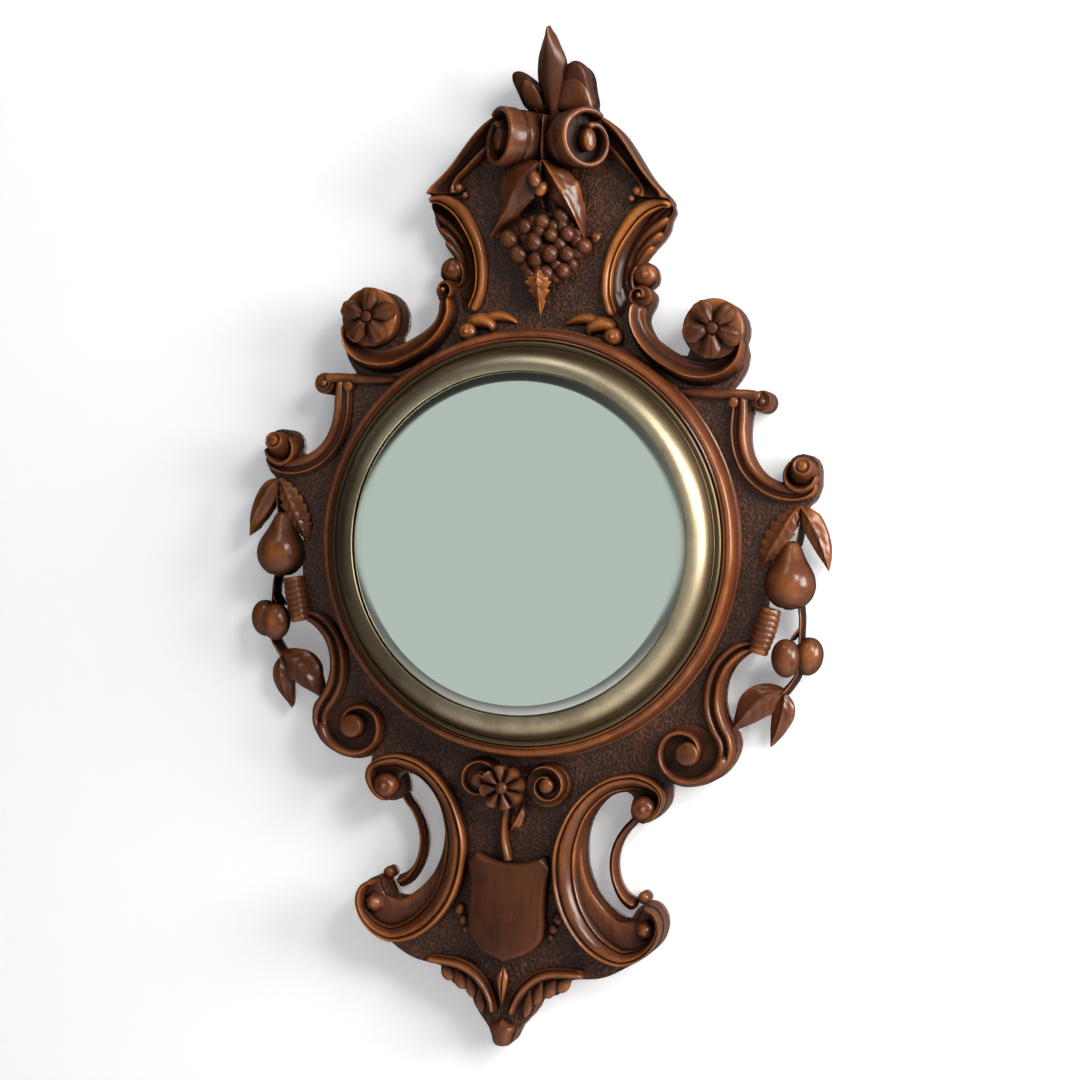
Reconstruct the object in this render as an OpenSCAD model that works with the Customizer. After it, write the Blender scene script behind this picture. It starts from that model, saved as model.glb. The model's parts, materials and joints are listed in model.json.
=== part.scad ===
// Carved walnut wall mirror: round bevelled glass in a proud brass bezel, set in a
// turned ring on three jointed boards, with carved crest, side scrolls, fruit and apron.
// Drawn in relief space: X to the right, Y up the wall, Z out of the wall. The last step
// turns it so that the wall plane is y = 0, the front faces -Y and the hook is the origin.

/* [Glass] */
// radius of the mirror that shows inside the bezel lip
sight_r = 144.5; // [120:0.5:170]
// how far the glass runs on behind the bezel lip
glass_lap = 5; // [3:0.5:8]
// thickness of the glass
glass_t = 5; // [3:0.5:8]
// width of the bevel ground on the front edge of the glass
bevel_w = 14; // [6:1:20]
// thickness left at the bevelled edge
bevel_edge = 3; // [1.5:0.5:3]
// thickness of the backing disc behind the glass
backing_t = 2; // [1.5:0.5:4]

/* [Bezel] */
// width of the brass bezel seen from the front
bezel_w = 26; // [18:0.5:34]
// height of the brass bezel above its seat
bezel_h = 25; // [20:0.5:32]
// wall of the spun brass
bezel_wall = 2; // [1:0.25:3]
// height of the flat rib round the foot of the bezel
bezel_foot = 5; // [3:0.5:8]

/* [Wooden ring] */
// width of the turned ring outside the bezel
ring_w = 13; // [10:0.5:20]
// height of the turned ring above the board
ring_h = 25; // [20:0.5:30]
// step from the crest of the ring down to the bezel seat
ring_step = 3; // [1:0.5:5]
// width of the inner ledge that carries the bezel
ring_ledge = 11; // [8:0.5:14]

/* [Boards] */
// thickness of the three boards
board_t = 25; // [20:0.5:32]
// how far the board joints lie inside the edge of the wooden ring
seam_in = 11.5; // [6:0.5:15]
// thickness of the lower side panels of the crest
panel_t = 20; // [14:1:24]

/* [Relief] */
// rise of the crest side ribs above the board
crest_rise = 8; // [5:0.5:14]
// rise of the rim along the top bands
band_rise = 20; // [14:0.5:24]
// rise of the side scrolls above the board
side_rise = 9; // [6:0.5:14]
// rise of the flower scroll ridge above the board
flower_rise = 19; // [12:0.5:24]
// rise of the apron scrolls above the board
base_rise = 19; // [12:0.5:24]
// rise of the shield above the board
shield_rise = 20; // [12:0.5:26]
// thickness of the slender inner scrolls
slender_t = 18; // [12:0.5:22]
// radius of the round boss under each flower
boss_r = 25.5; // [20:0.5:28]
// tilt of the flower face towards the side
flower_tilt = 4; // [0:1:12]
// radius of the two scroll ends at the top of the crest
volute_r = 24.5; // [20:0.5:26]
// turn of those scroll ends away from the front
volute_turn = 48; // [45:1:62]
// radius of a pear at its widest
pear_r = 20.5; // [16:0.5:22]
// radius of an egg berry
berry_r = 12.3; // [9:0.1:13]

/* [Back] */
// thickness of the back panel
back_t = 4; // [3:0.5:5]
// how far the back panel lies in from the wall face
back_in = 5; // [4.5:0.5:7]
// width of the rest that the back panel lies on
back_rest = 12; // [8:1:16]
// play between flat pieces that are lifted out
play = 0.3; // [0.2:0.1:0.5]
// length of a turn button
button_l = 38; // [30:1:40]
// width of a turn button
button_w = 11; // [9:0.5:14]
// thickness of a turn button
button_t = 2.7; // [2:0.1:3]
// radius of the turn button screw shank
screw_r = 2; // [1.5:0.1:2.5]
// running play round the screw shank
screw_play = 0.06; // [0.03:0.01:0.1]
// length of the screws into the wood
screw_l = 12; // [8:1:16]
// height of the hanging hole above the glass centre
hang_z = 262; // [240:1:290]
// radius of the hanging hole
hang_r = 6; // [4:0.5:8]
// length of the brass hanging plate
plate_l = 62; // [50:1:80]
// width of the brass hanging plate
plate_w = 24; // [20:1:32]
// thickness of the brass hanging plate
plate_t = 2.5; // [2:0.5:4]

/* [Smoothness] */
// points per stretch of a carved curve
steps = 4; // [3:1:8]

/* [Hidden] */
$fn = 96;

bezel_r = sight_r + bezel_w;
ring_r = bezel_r + ring_w;
glass_r = sight_r + glass_lap;
seat_z = board_t + ring_h - ring_step;
bezel_top = seat_z + bezel_h;
lip_t = bezel_wall;
glass_top = bezel_top - lip_t - play;
glass_back = glass_top - glass_t;
rest_top = glass_back - backing_t;
rest_in = glass_r - glass_lap - 2;
rest_out = glass_r + 5;
back_r = rest_out + back_rest - play;
rebate_r = rest_out + back_rest;
rebate_z = back_in + back_t;
pocket_r = button_l / 2 + 3;
// head of the screws in the hanging plate
head_r = screw_r * 1.9;
head_t = 0.8;
button_ring = rebate_r + button_w / 2 + 9;
button_z = back_in - play;
// the carving is drawn round a glass of 144.5, a bezel of 26 and a ring of 13, and follows them
layout = ring_r / (144.5 + 26 + 13);
function grow(v) = v * layout;
seam = ring_r - seam_in;
// reach of the blocks and cylinders that only cut or bound others
big = 1200;
tall = 200;
// clearance between carved pieces that touch
skin = 0.1;

// curves through hand-picked points
function bend(a, b, c, d, t) = 0.5 * ((2 * b) + (c - a) * t + (2 * a - 5 * b + 4 * c - d) * t * t
  + (3 * b - a - 3 * c + d) * t * t * t);
function smooth(p, n = steps) = let (k = len(p) - 1) [for (i = [0 : k - 1]) for (j = [0 : n - 1])
  bend(p[max(i - 1, 0)], p[i], p[i + 1], p[min(i + 2, k)], j / n), p[k]];
function flip(p) = [for (i = [len(p) - 1 : -1 : 0]) p[i]];
function unit(v) = v / norm(v);
function side(p, i) = let (a = p[max(i - 1, 0)], b = p[min(i + 1, len(p) - 1)], u = unit([b[0] - a[0],
  b[1] - a[1]]))
  [-u[1], u[0]];
function edge(p, k, off) = [for (i = [0 : len(p) - 1]) [p[i][0], p[i][1]] + side(p,
  i) * (p[i][2] * k / 2 + off)];
function ribbon(p, share = 1, off = 0) = let (q = smooth(p))
  concat(edge(q, share, off), flip(edge(q, -share, off)));
function ring_pts(c, r, a, b,
  n = 8) = [for (i = [0 : n]) let (t = a + (b - a) * i / n) [c[0] + r * cos(t), c[1] + r * sin(t)]];
function around(p, c, k) = [for (q = p) c + (q - c) * k];
function fit(p) = [for (q = p) [q[0] * layout, q[1] * layout]];
function other(p) = [for (i = [len(p) - 1 : -1 : 0]) [-p[i][0], p[i][1]]];

module slab(low, high) { translate([0, 0, low]) linear_extrude(high - low) children(); }
module shape(p) { polygon(fit(p)); }
module rib(p, low, high, share = 1, off = 0) { slab(low, high) shape(ribbon(p, share, off)); }
module at(x, y, z = 0) { translate([x * layout, y * layout, z]) children(); }
module left() { mirror([1, 0, 0]) children(); }
module outside_ring() { difference() { children(); translate([0, 0, -1]) cylinder(r = ring_r, h = tall); } }
module rod(a, b, r) {
  v = b - a;
  translate(a) rotate([0, acos(v[2] / norm(v)), atan2(v[1], v[0])]) cylinder(r = r, h = norm(v), $fn = 32);
}
module above(z) { intersection() { children(); translate([-big / 2, -big / 2, z]) cube([big, big, tall]); } }

// outline of the boards, right half, from the top round to the foot
top_edge = [[0, 364], [22, 364], [40, 364], [50, 360], [59, 352.5], [67, 343], [76, 330], [85, 317],
  [94, 307], [101, 300.5], [105.5, 295], [106, 291]];
rib_edge = [[106, 291], [97, 291], [88, 288], [79, 281.5], [71, 271], [64, 257], [59.8, 241], [59, 226],
  [60.8, 212], [64.5, 201], [68, 194]];
curl_edge = [[68, 194], [72, 200], [74, 208], [77, 216], [83, 221.5], [90, 221]];
bowl_edge = [[90, 221], [95, 215.5], [94.5, 208], [91, 200], [90, 193], [94, 184], [100, 176.5], [108, 170.5],
  [118, 166], [127.5, 164.8]];
boss_c = [151, 187];
boss_edge = ring_pts(boss_c, boss_r / layout, 215, -22, 16);
under_edge = [[177.2, 168], [175.5, 157], [171, 147.5], [165.5, 140]];
ledge_edge = [[165.5, 138.4], [184, 138.4], [184, 120.5]];
hollow_edge = [[183, 118], [182.3, 103], [184.3, 89], [189.5, 78], [197, 69.5], [206, 64.2], [213.5, 63.3]];
peg_c = [230.5, 74];
peg_edge = ring_pts(peg_c, 13.5, 205, 0, 9);
swag_edge = [[244.5, 62], [241, 51], [235, 44.5], [230, 33], [221, 22], [211.5, 11], [206, 0]];
fruit_edge = [[206, 0], [206.2, -12], [206.2, -24], [205, -38], [206, -52], [205.5, -64], [203, -77]];
bay_edge = [[203, -77], [195, -79.5], [186, -86], [178.5, -96], [174.5, -108], [173.7, -121], [176.5, -133],
  [182, -143], [187.5, -151], [189, -160], [185.5, -172], [177.5, -183.5], [165.5, -191.5], [151, -195.5],
  [140, -195], [131.5, -191.5]];
eye_edge = [[131.5, -191.5], [132.5, -200], [132, -210], [127.5, -219], [120, -226.5], [112, -229.5],
  [104.5, -227.5], [101, -221], [101.5, -213], [104, -206]];
apron_edge = [[104, -206], [96, -203.5], [86, -206.5], [75, -215], [66.5, -227], [62, -241], [61, -256],
  [63, -272], [68.5, -286], [77, -298], [88, -308], [98, -313.5], [106, -313]];
heel_edge = [[106, -313], [109, -306], [113, -300], [120, -297], [128, -299.5], [134, -308], [135, -318],
  [131.5, -329.5], [122, -340.5], [106, -351.5], [92, -360], [80, -364.5], [64, -366.5]];
foot_edge = [[64, -366.5], [54, -369], [51.5, -375], [47, -381.5], [41, -383.5], [35, -386], [29.5, -390],
  [27, -397], [22, -404.5], [18.5, -408.5], [12.5, -416], [8, -427], [5, -430], [0, -430.5]];
rib_side = smooth(rib_edge);
curl_side = smooth(curl_edge);
half = concat(smooth(top_edge), rib_side, curl_side, smooth(bowl_edge), boss_edge, smooth(under_edge),
  ledge_edge,
  smooth(hollow_edge), peg_edge, smooth(swag_edge), smooth(fruit_edge), smooth(bay_edge), smooth(eye_edge),
  smooth(apron_edge), smooth(heel_edge), foot_edge);
function apart(p) = [for (i = [0 : len(p) - 1]) if (i == 0 || norm(p[i] - p[max(i - 1, 0)]) > 0.05) p[i]];
clean_half = apart(half);
outline = concat(clean_half, other([for (i = [1 : len(clean_half) - 2]) clean_half[i]]));

// boards
// space between the side of the crest board and the flower boss
boss_gap = 8;
crest_half = boss_c[0] - boss_r / layout - boss_gap;
module crest_area() {
  translate([-crest_half * layout, seam]) square([2 * crest_half * layout, big]);
}
module apron_area() { translate([-big / 2, -seam - big]) square([big, big]); }
module button_places() {
  for (q = [0 : 3]) rotate(45 + 90 * q) translate([button_ring, 0, 0]) children();
}
module centre_board() {
  color("saddlebrown") difference() {
    slab(0, board_t) difference() {
      shape(outline);
      crest_area();
      apron_area();
    }
    translate([0, 0, -1]) cylinder(r = rest_out, h = board_t + 2);
    translate([0, 0, -1]) cylinder(r = rebate_r, h = rebate_z + 1);
    button_places() translate([0, 0, -1]) cylinder(r = pocket_r, h = back_in + 1);
    button_places() cylinder(r = screw_r, h = back_in + screw_l, $fn = 32);
  }
}
module crest_board() {
  color("sienna") difference() {
    slab(0, board_t) intersection() {
      shape(outline);
      crest_area();
    }
    translate([-plate_w / 2, hang_z - plate_l / 2, -1]) cube([plate_w, plate_l, plate_t + 1]);
    translate([0, hang_z, 0]) cylinder(r = hang_r + 3, h = plate_t + 12);
    plate_holes() cylinder(r = screw_r, h = plate_t + screw_l, $fn = 32);
  }
}
module apron_board() {
  color("sienna") slab(0, board_t) intersection() {
    shape(outline);
    apron_area();
  }
}

// glass and its setting
module ring_moulding() {
  w = ring_w;
  h = ring_h;
  inner = bezel_r - ring_ledge;
  top = board_t + h;
  color("peru") rotate_extrude() polygon(concat(
    [[inner, board_t], [ring_r, board_t], [ring_r, board_t + h * 0.22], [ring_r - w * 0.07,
      board_t + h * 0.26]],
    [for (a = [0 : 15 : 90]) [ring_r - w * 0.12 - w * 0.42 * (1 - cos(a)),
      board_t + h * 0.3 + h * 0.7 * sin(a)]],
    [[ring_r - w * 0.66, top], [ring_r - w * 0.74, top - h * 0.05], [ring_r - w * 0.8, top - h * 0.02],
      [ring_r - w * 0.92, top - h * 0.03], [bezel_r, seat_z], [inner, seat_z]]));
}
function dome(r0, r1, z0, z1) = [for (a = [0 : 10 : 90]) [r1 + (r0 - r1) * cos(a), z0 + (z1 - z0) * sin(a)]];
module brass_bezel() {
  foot_in = bezel_r - bezel_foot;
  foot_z = seat_z + bezel_foot;
  color("goldenrod") rotate_extrude() polygon(concat(
    [[foot_in - bezel_wall, seat_z], [bezel_r, seat_z], [bezel_r, foot_z - 1], [bezel_r - 1, foot_z],
      [foot_in, foot_z]],
    dome(foot_in - 0.5, sight_r + lip_t, foot_z + 1, bezel_top), [[sight_r, bezel_top - 0.8], [sight_r,
      bezel_top - lip_t]],
    flip(dome(foot_in - bezel_wall - 0.5, sight_r + lip_t + 2, foot_z, bezel_top - lip_t)),
    [[foot_in - bezel_wall, foot_z - 1]]));
}
module mirror_plate() {
  color("lightsteelblue") rotate_extrude($fn = 180) polygon([[0, glass_back], [glass_r, glass_back],
    [glass_r, glass_back + bevel_edge], [glass_r - bevel_w, glass_top], [0, glass_top]]);
}
module backing_disc() { color("tan") translate([0, 0, rest_top]) cylinder(r = glass_r, h = backing_t,
  $fn = 180); }
module glass_rest() {
  color("burlywood") difference() {
    translate([0, 0, rebate_z]) cylinder(r = min(rest_out, bezel_r - ring_ledge), h = rest_top - rebate_z);
    cylinder(r = rest_in, h = rest_top + 1);
  }
}
module back_panel() { color("tan") translate([0, 0, back_in]) cylinder(r = back_r, h = back_t, $fn = 180); }
module button() {
  reach = button_l - button_w;
  difference() {
    slab(button_z - button_t, button_z) {
      translate([-reach / 2, -button_w / 2]) square([reach, button_w]);
      translate([-reach / 2, 0]) circle(d = button_w);
      translate([reach / 2, 0]) circle(d = button_w);
    }
    cylinder(r = screw_r + screw_play, h = back_in + 1, $fn = 48);
  }
}
module turn_button(q) { color("darkgoldenrod") rotate(45 + 90 * q) translate([button_ring, 0, 0]) button(); }
module button_screws() {
  head = button_z - button_t - 0.1;
  color("gold") button_places() {
    translate([0, 0, 0.5]) cylinder(r = screw_r * 2, h = head - 0.5, $fn = 32);
    translate([0, 0, 1]) cylinder(r = screw_r, h = back_in + screw_l - 1.2, $fn = 32);
  }
}
module plate_holes() {
  for (s = [-1, 1]) translate([0, hang_z + s * (plate_l / 2 - 9), 0]) children();
}
module hanging_plate() {
  color("goldenrod") difference() {
    translate([-plate_w / 2, hang_z - plate_l / 2, 0]) cube([plate_w, plate_l, plate_t]);
    translate([0, hang_z, -1]) cylinder(r = hang_r, h = plate_t + 2);
    plate_holes() translate([0, 0, -1]) cylinder(r = head_r, h = head_t + 1, $fn = 32);
    plate_holes() cylinder(r = screw_r, h = plate_t + 1, $fn = 32);
  }
}
module hanging_screws() {
  color("gold") plate_holes() {
    cylinder(r = head_r, h = head_t, $fn = 32);
    translate([0, 0, 0.5]) cylinder(r = screw_r, h = plate_t + screw_l - 0.7, $fn = 32);
  }
}

// crest
module lobe(p, low, high) { slab(low, high) shape(smooth(p)); }
finial_z = 366.3;
finial_lean = 14;
module crest_finial() {
  // three leaves that lean out from the board top
  color("chocolate") {
    difference() {
      translate([0, grow(finial_z), 8]) rotate([-finial_lean, 0, 0]) translate([0, -grow(finial_z), -8]) {
        slab(30, 43) shape(concat([[-9, 360]], smooth([[-9, 362], [-11.5, 380], [-12.5, 398], [-9, 418],
          [-3.5, 431], [0, 435]]),
          smooth([[0, 435], [5, 430], [11, 417], [14, 398], [12, 380], [9, 362]]), [[9, 360]]));
        slab(22, 34) shape(concat(smooth([[-4, 360], [-22, 362], [-25, 374], [-31, 386], [-36, 394], [-34,
          401], [-27, 402]]),
          smooth([[-27, 402], [-18, 397], [-11, 391]]), smooth([[11, 391], [16, 401], [25, 404]]),
          smooth([[25, 404], [33, 400], [35, 391], [31, 380], [26, 370], [23, 362], [4, 360]])));
        slab(10, 23) shape(smooth([[-24, 360], [-23, 372], [-15, 384], [0, 388], [15, 384], [23, 372],
          [24, 360]]));
      }
      translate([-big / 2, 0, -1]) cube([big, grow(finial_z), tall]);
    }
    slab(3, board_t - 0.3) shape([[-22, 364], [22, 364], [20, 368], [-20, 368]]);
  }
}
volute_c = [39.6, 341.5];
volute_z = 57;
volute_l = 80;
volute_sink = 7;
volute_rim = 6;
stem_half = 3;
module turned(lift = 0) {
  at(volute_c[0], volute_c[1], volute_z) rotate([0, volute_turn, 0]) translate([0, 0, lift]) children();
}
module volute_body(more = 0) { turned(-volute_l) cylinder(r = volute_r + more, h = volute_l + more); }
module crest_volute() {
  color("chocolate") intersection() {
    difference() {
      volute_body();
      turned(-volute_sink) difference() {
        cylinder(r = volute_r - volute_rim, h = volute_sink + 1);
        cylinder(r = volute_r * 0.42, h = volute_sink);
        translate([-3, 0, 0]) cube([6, volute_r, volute_sink - 1]);
      }
    }
    translate([grow(stem_half), 0, board_t]) cube([tall, big, tall]);
  }
}
module crest_stem() {
  color("sienna") slab(board_t, volute_z + 2) shape([[-stem_half, 322], [stem_half, 322], [stem_half, 358],
    [1.5, 362], [-1.5, 362], [-stem_half, 358]]);
}
crest_rib = [[105, 290, 8], [95, 293.5, 10], [84, 289.5, 10.5], [74, 280, 10.5], [65.5, 266.5, 10], [58.5,
  251, 9.6],
  [54.8, 236, 9.6], [54.3, 222, 9.6], [56.5, 208, 9.8], [62, 195.5, 9.8]];
rib_line = edge(smooth(crest_rib), -1, 0);
band_out = smooth([[46, 361.5], [52, 358], [59, 352], [67, 342.6], [76, 329.6], [85, 316.6], [94, 306.6],
  [101, 300], [104.6, 295.2]]);
band_rim = smooth([[46, 352.5], [53, 348], [60.5, 340], [69, 328.5], [78, 317], [87, 306.5], [93, 301]]);
band_in = smooth([[49, 335], [54, 331], [62, 323.5], [70, 315.5], [77, 308.5], [79.5, 301], [77, 296.5]]);
band_step = smooth([[51, 341], [59, 335], [68, 326], [77, 316], [83, 308], [82.5, 300]]);
module crest_band() {
  // rim outside, hollow between, ledge inside
  color("peru") difference() {
    union() {
      slab(board_t, board_t + band_rise * 0.4) shape(concat(band_out, [for (i = [0 : 8]) rib_line[i]],
        flip(band_in)));
      slab(board_t, board_t + band_rise) shape(concat(band_out, [for (i = [0 : 4]) rib_line[i]],
        flip(band_rim)));
      slab(board_t, board_t + band_rise * 0.55) shape(concat(band_in, flip(band_step)));
    }
    turned(-volute_l * 1.5) translate([volute_r + skin - tall, -tall / 2, 0]) cube([tall, tall, tall]);
  }
}
module crest_scroll() {
  color("chocolate") {
    rib(crest_rib, board_t, board_t + crest_rise * 0.6);
    rib(crest_rib, board_t, board_t + crest_rise, 0.7);
  }
}
panel_out = concat(smooth([[106, 291], [107.3, 286], [104.5, 279], [103, 271], [98.5, 263], [92, 255.5],
  [86.5, 248.5], [82.5, 242]]),
  smooth([[82.5, 242], [88, 242.8], [93, 239.5], [96, 232.5], [95, 225.5], [90, 221]]));
module crest_panel() {
  color("sienna") {
    slab(0, panel_t) shape(apart(concat(flip(rib_side), panel_out, flip(curl_side))));
    slab(panel_t, panel_t + 5) shape(smooth([[74, 262], [82, 272], [92, 277], [99, 276], [98, 268], [91,
      258], [83, 250], [77, 243], [73, 250], [74, 262]]));
    slab(panel_t, panel_t + 7) shape(smooth([[70, 232], [76, 239], [86, 239], [93, 234], [94, 226], [84,
      226], [73, 219], [68, 224], [70, 232]]));
  }
}

// flower scrolls
bowl_rib = [[84, 205, 17], [83, 194, 16], [87, 182.5, 16], [94.5, 172.5, 18], [104.5, 164, 20], [116.5,
  157, 20],
  [130, 151.5, 21], [144, 150, 20], [157, 153, 18], [167, 160.5, 17], [172, 170, 12], [174, 181, 7]];
bowl_ridge = [[84.5, 196, 7], [86.5, 184, 7], [92.5, 173, 8], [101.5, 162.5, 8], [112, 155, 8], [124,
  150.5, 8], [137, 148.8, 8],
  [150, 150.5, 8], [161, 157, 7.5], [169, 166, 6.5], [172.5, 177, 5]];
face_z = board_t + 17;
petal_h = 6;
module tilted(lift = 0) {
  at(boss_c[0], boss_c[1], face_z) rotate([0, flower_tilt, 0]) translate([0, 0, lift]) children();
}
module flower_scroll() {
  color("peru") outside_ring() {
    rib(bowl_rib, board_t, board_t + flower_rise * 0.5);
    rib(bowl_ridge, board_t, board_t + flower_rise);
    at(86, 213, board_t) cylinder(r = grow(9), h = flower_rise * 0.8);
    difference() {
      at(boss_c[0], boss_c[1], board_t) cylinder(r = boss_r, h = boss_r * 1.6);
      tilted() translate([-tall / 2, -tall / 2, 0]) cube([tall, tall, tall]);
      tilted(-petal_h) cylinder(r = boss_r * 0.8, h = tall);
    }
  }
}
function petals(n, r_in, r_out, turn = 0) = [for (i = [0 : n * 8 - 1]) let (a = 360 * i / (n * 8))
  (r_in + (r_out - r_in) * pow(abs(cos(n * a / 2)), 0.7)) * [cos(a + turn), sin(a + turn)]];
module flower() {
  color("maroon") {
    tilted(-petal_h) cylinder(r = boss_r * 0.48, h = petal_h + 1);
    tilted(0.2) linear_extrude(petal_h) polygon(petals(5, boss_r * 0.52, boss_r * 0.86, 90));
    tilted(petal_h) sphere(r = boss_r * 0.23, $fn = 48);
  }
}

// vine on the crest
module vine_leaves() {
  color("saddlebrown") {
    difference() {
      union() {
        slab(board_t, 40) shape(smooth([[-4.2, 316], [-14, 316.4], [-26, 314], [-33, 305], [-35.5, 293],
          [-30, 282.5], [-19, 280], [-8, 286],
          [-4.2, 300], [-4.2, 316]]));
        slab(board_t, 42) shape(smooth([[4.2, 316], [14, 316.4], [23, 311], [32, 299], [40, 285], [45,
          274], [42, 269.5], [34, 274], [25, 282],
          [14, 289], [6, 298], [4.2, 308], [4.2, 316]]));
        slab(board_t, 36) shape(smooth([[-46, 275], [-49.5, 267], [-46, 259], [-38, 256.5], [-34, 265],
          [-38, 274], [-46, 275]]));
        slab(board_t, 36) shape(smooth([[45, 257], [49, 261], [48.5, 266], [45, 268.5], [41, 266], [42,
          260], [45, 257]]));
        slab(board_t, 38) shape([[-4, 298], [4, 298], [stem_half, 321.6], [-stem_half, 321.6]]);
        slab(board_t, 34) shape(smooth([[1.5, 220.5], [-6, 219], [-9.5, 213.5], [-6, 207], [1, 201], [8,
          206], [12, 213.5], [9, 219.5], [1.5, 220.5]]));
      }
      grapes();
      volute_body(skin);
      left() volute_body(skin);
    }
  }
}
// x, height, radius and how far out each grape stands
berries = [[16, 276, 6.6, 0], [1, 272, 6.6, 2], [-14, 266, 6.8, 1], [-29, 257, 7.2, -2], [8.5, 259.5, 6.4,
  5], [-5.5, 255, 6.8, 5],
  [23, 262, 6.8, 2], [36, 253, 7.2, -2], [-19.5, 243, 7.4, 1], [-4, 240, 7, 4], [9.5, 244.5, 6.6, 5],
    [23.5, 245.5, 7, 2],
  [5.5, 228.5, 6.8, 0], [19, 231, 6.8, 0], [-9, 226.5, 6.2, 0]];
grape_z = 41;
module grapes() {
  for (b = berries) at(b[0], b[1], grape_z + b[3]) sphere(r = grow(b[2]), $fn = 40);
  slab(board_t, grape_z - 1) shape(smooth([[-4, 278], [-18, 269], [-31, 261], [-27, 246], [-16, 237], [-8,
    228], [6, 226], [20, 231], [31, 246],
    [35, 256], [22, 266], [10, 277], [-4, 278]]));
  slab(board_t, grape_z + 2) shape(smooth([[0, 270], [-10, 262], [-12, 250], [-6, 240], [4, 237], [15,
    242], [20, 252], [14, 264], [0, 270]]));
}
module grape_cluster() { color("maroon") grapes(); }
module leaf_spray() {
  color("peru") outside_ring() {
    rib([[54, 185, 4], [60.5, 182, 9], [67, 178.5, 8.5], [71, 175.8, 3]], board_t, 36);
    rib([[38, 197, 3], [45, 194, 8], [52, 189, 9], [58.5, 184, 5]], board_t, 35);
    rib([[20, 192, 2.5], [28, 195, 6.5], [37, 195, 7.5], [46, 190, 5]], board_t, 33);
  }
}

// sides
side_rib = [[175, 132, 13], [174.8, 117, 15.5], [174.8, 103, 16], [177.3, 89, 16], [183, 76, 16], [191.5,
  66, 16], [202, 59, 16],
  [214, 55, 16], [226, 54.3, 15], [236, 58, 13], [241, 66, 8]];
module side_scroll() {
  color("chocolate") outside_ring() {
    rib(side_rib, board_t, board_t + side_rise * 0.55);
    rib(side_rib, board_t, board_t + side_rise, 0.38, 3.9);
    rib(side_rib, board_t, board_t + side_rise, 0.3, -5);
    slab(board_t, board_t + side_rise * 0.65) shape([[117, 130.5], [175, 129], [193, 130], [193, 138.4],
      [117, 138]]);
    at(170, 127, board_t) cylinder(r = grow(4.6), h = side_rise);
    at(193.6, 129.2) cylinder(r = grow(9.3), h = board_t + side_rise * 0.65);
    above(board_t) at(peg_c[0], peg_c[1] - 2, board_t - 3) rotate([-14, 4, 0])
      cylinder(r1 = grow(13), r2 = grow(7.5), h = 22);
  }
}
module swag_leaves() {
  color("saddlebrown") slab(board_t, board_t + 9) {
    shape(smooth([[229, 44.5], [220, 41], [210, 30], [203, 15], [199, -2], [201, -9], [208, -4], [213, 4],
      [218, 12], [222, 22], [228, 32],
      [231, 44], [229, 44.5]]));
    shape(smooth([[230, 44], [238, 42.5], [247, 36], [254, 24], [257, 8], [257, -8], [251, -6], [245, 2],
      [240, 12], [234, 22], [229.5, 32],
      [230, 44]]));
  }
}
function egg(r, h) = [for (a = [-90 : 15 : 90]) [max(0, r * cos(a)), h * sin(a)]];
pear_pt = [227, -21, 27];
module pear() {
  color("darkorange") {
    at(pear_pt[0], pear_pt[1], pear_pt[2]) rotate([-90, 0,
      0]) rotate_extrude($fn = 64) polygon(concat([[0, -pear_r]],
      [for (a = [-75 : 15 : 15]) [pear_r * cos(a), pear_r * sin(a)]],
      [[pear_r * 0.86, pear_r * 0.5], [pear_r * 0.68, pear_r * 0.8], [pear_r * 0.48, pear_r * 1.1],
        [pear_r * 0.32, pear_r * 1.45],
        [0, pear_r * 1.72]]));
    difference() {
      slab(20, board_t) shape([[225, 8], [229, 8], [231, 30], [227.5, 30]]);
      board_edges();
    }
  }
}
module board_edges() { slab(-1, board_t) shape(outline); }
husk_top = [211.5, -45.5];
husk_end = [203.8, -78];
husk_r = grow(8.6);
husk_lift = 6.5;
husk_rings = 8;
module husk() {
  v = husk_end - husk_top;
  n = husk_rings;
  pitch = norm(v) * layout / n;
  color("peru") above(board_t) at(husk_top[0], husk_top[1], board_t + husk_lift) rotate([90, 0,
    -atan2(-v[0], -v[1])])
    rotate_extrude($fn = 48) polygon(concat([[0, 0]], [for (i = [0 : n - 1]) each [[husk_r - 1.2,
      pitch * i], [husk_r, pitch * (i + 0.35)],
      [husk_r, pitch * (i + 0.65)]]], [[husk_r - 1.2, pitch * n], [0, pitch * n]]));
}
module berry() { rotate([-90, 0, 0]) rotate_extrude($fn = 48) polygon(egg(berry_r, berry_r * 1.3)); }
module lower_stalk(more = 0) {
  rod([grow(235.5), grow(-84), 20], [grow(229), grow(-108), 19], 3 + more);
}
module berries_pair() {
  color("darkorange") {
    at(225.5, -82, 29) berry();
    at(242, -80, 14) berry();
    difference() {
      rod([grow(233), grow(-36), 22], [grow(235.5), grow(-72), 19], 2.6);
      pear_body_cut();
    }
    lower_stalk();
  }
}
module pear_body_cut() {
  r = pear_r + skin;
  at(pear_pt[0], pear_pt[1], pear_pt[2]) rotate([-90, 0, 0]) rotate_extrude($fn = 64) polygon(concat([[0,
    -r]],
    [for (a = [-75 : 15 : 15]) [r * cos(a), r * sin(a)]], [[0, pear_r]]));
}
module drop_leaves() {
  color("saddlebrown") difference() {
    union() {
      slab(14, board_t + 3) shape(smooth([[225, -109], [216, -106], [207, -107], [199, -114], [193, -124],
        [186, -133], [180, -139],
        [183, -147], [191, -149.5], [202, -145], [212, -140.5], [219, -131], [224, -120], [225, -109]]));
      slab(8, 22) shape(smooth([[219, -113], [226, -116], [232, -121], [233, -131], [229, -142], [222,
        -151], [214, -158.5], [210, -153],
        [208.5, -143], [212, -132], [215, -122], [219, -113]]));
    }
    board_edges();
    rib(lower_rib, 0, tall);
    lower_stalk(skin);
  }
}
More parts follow.
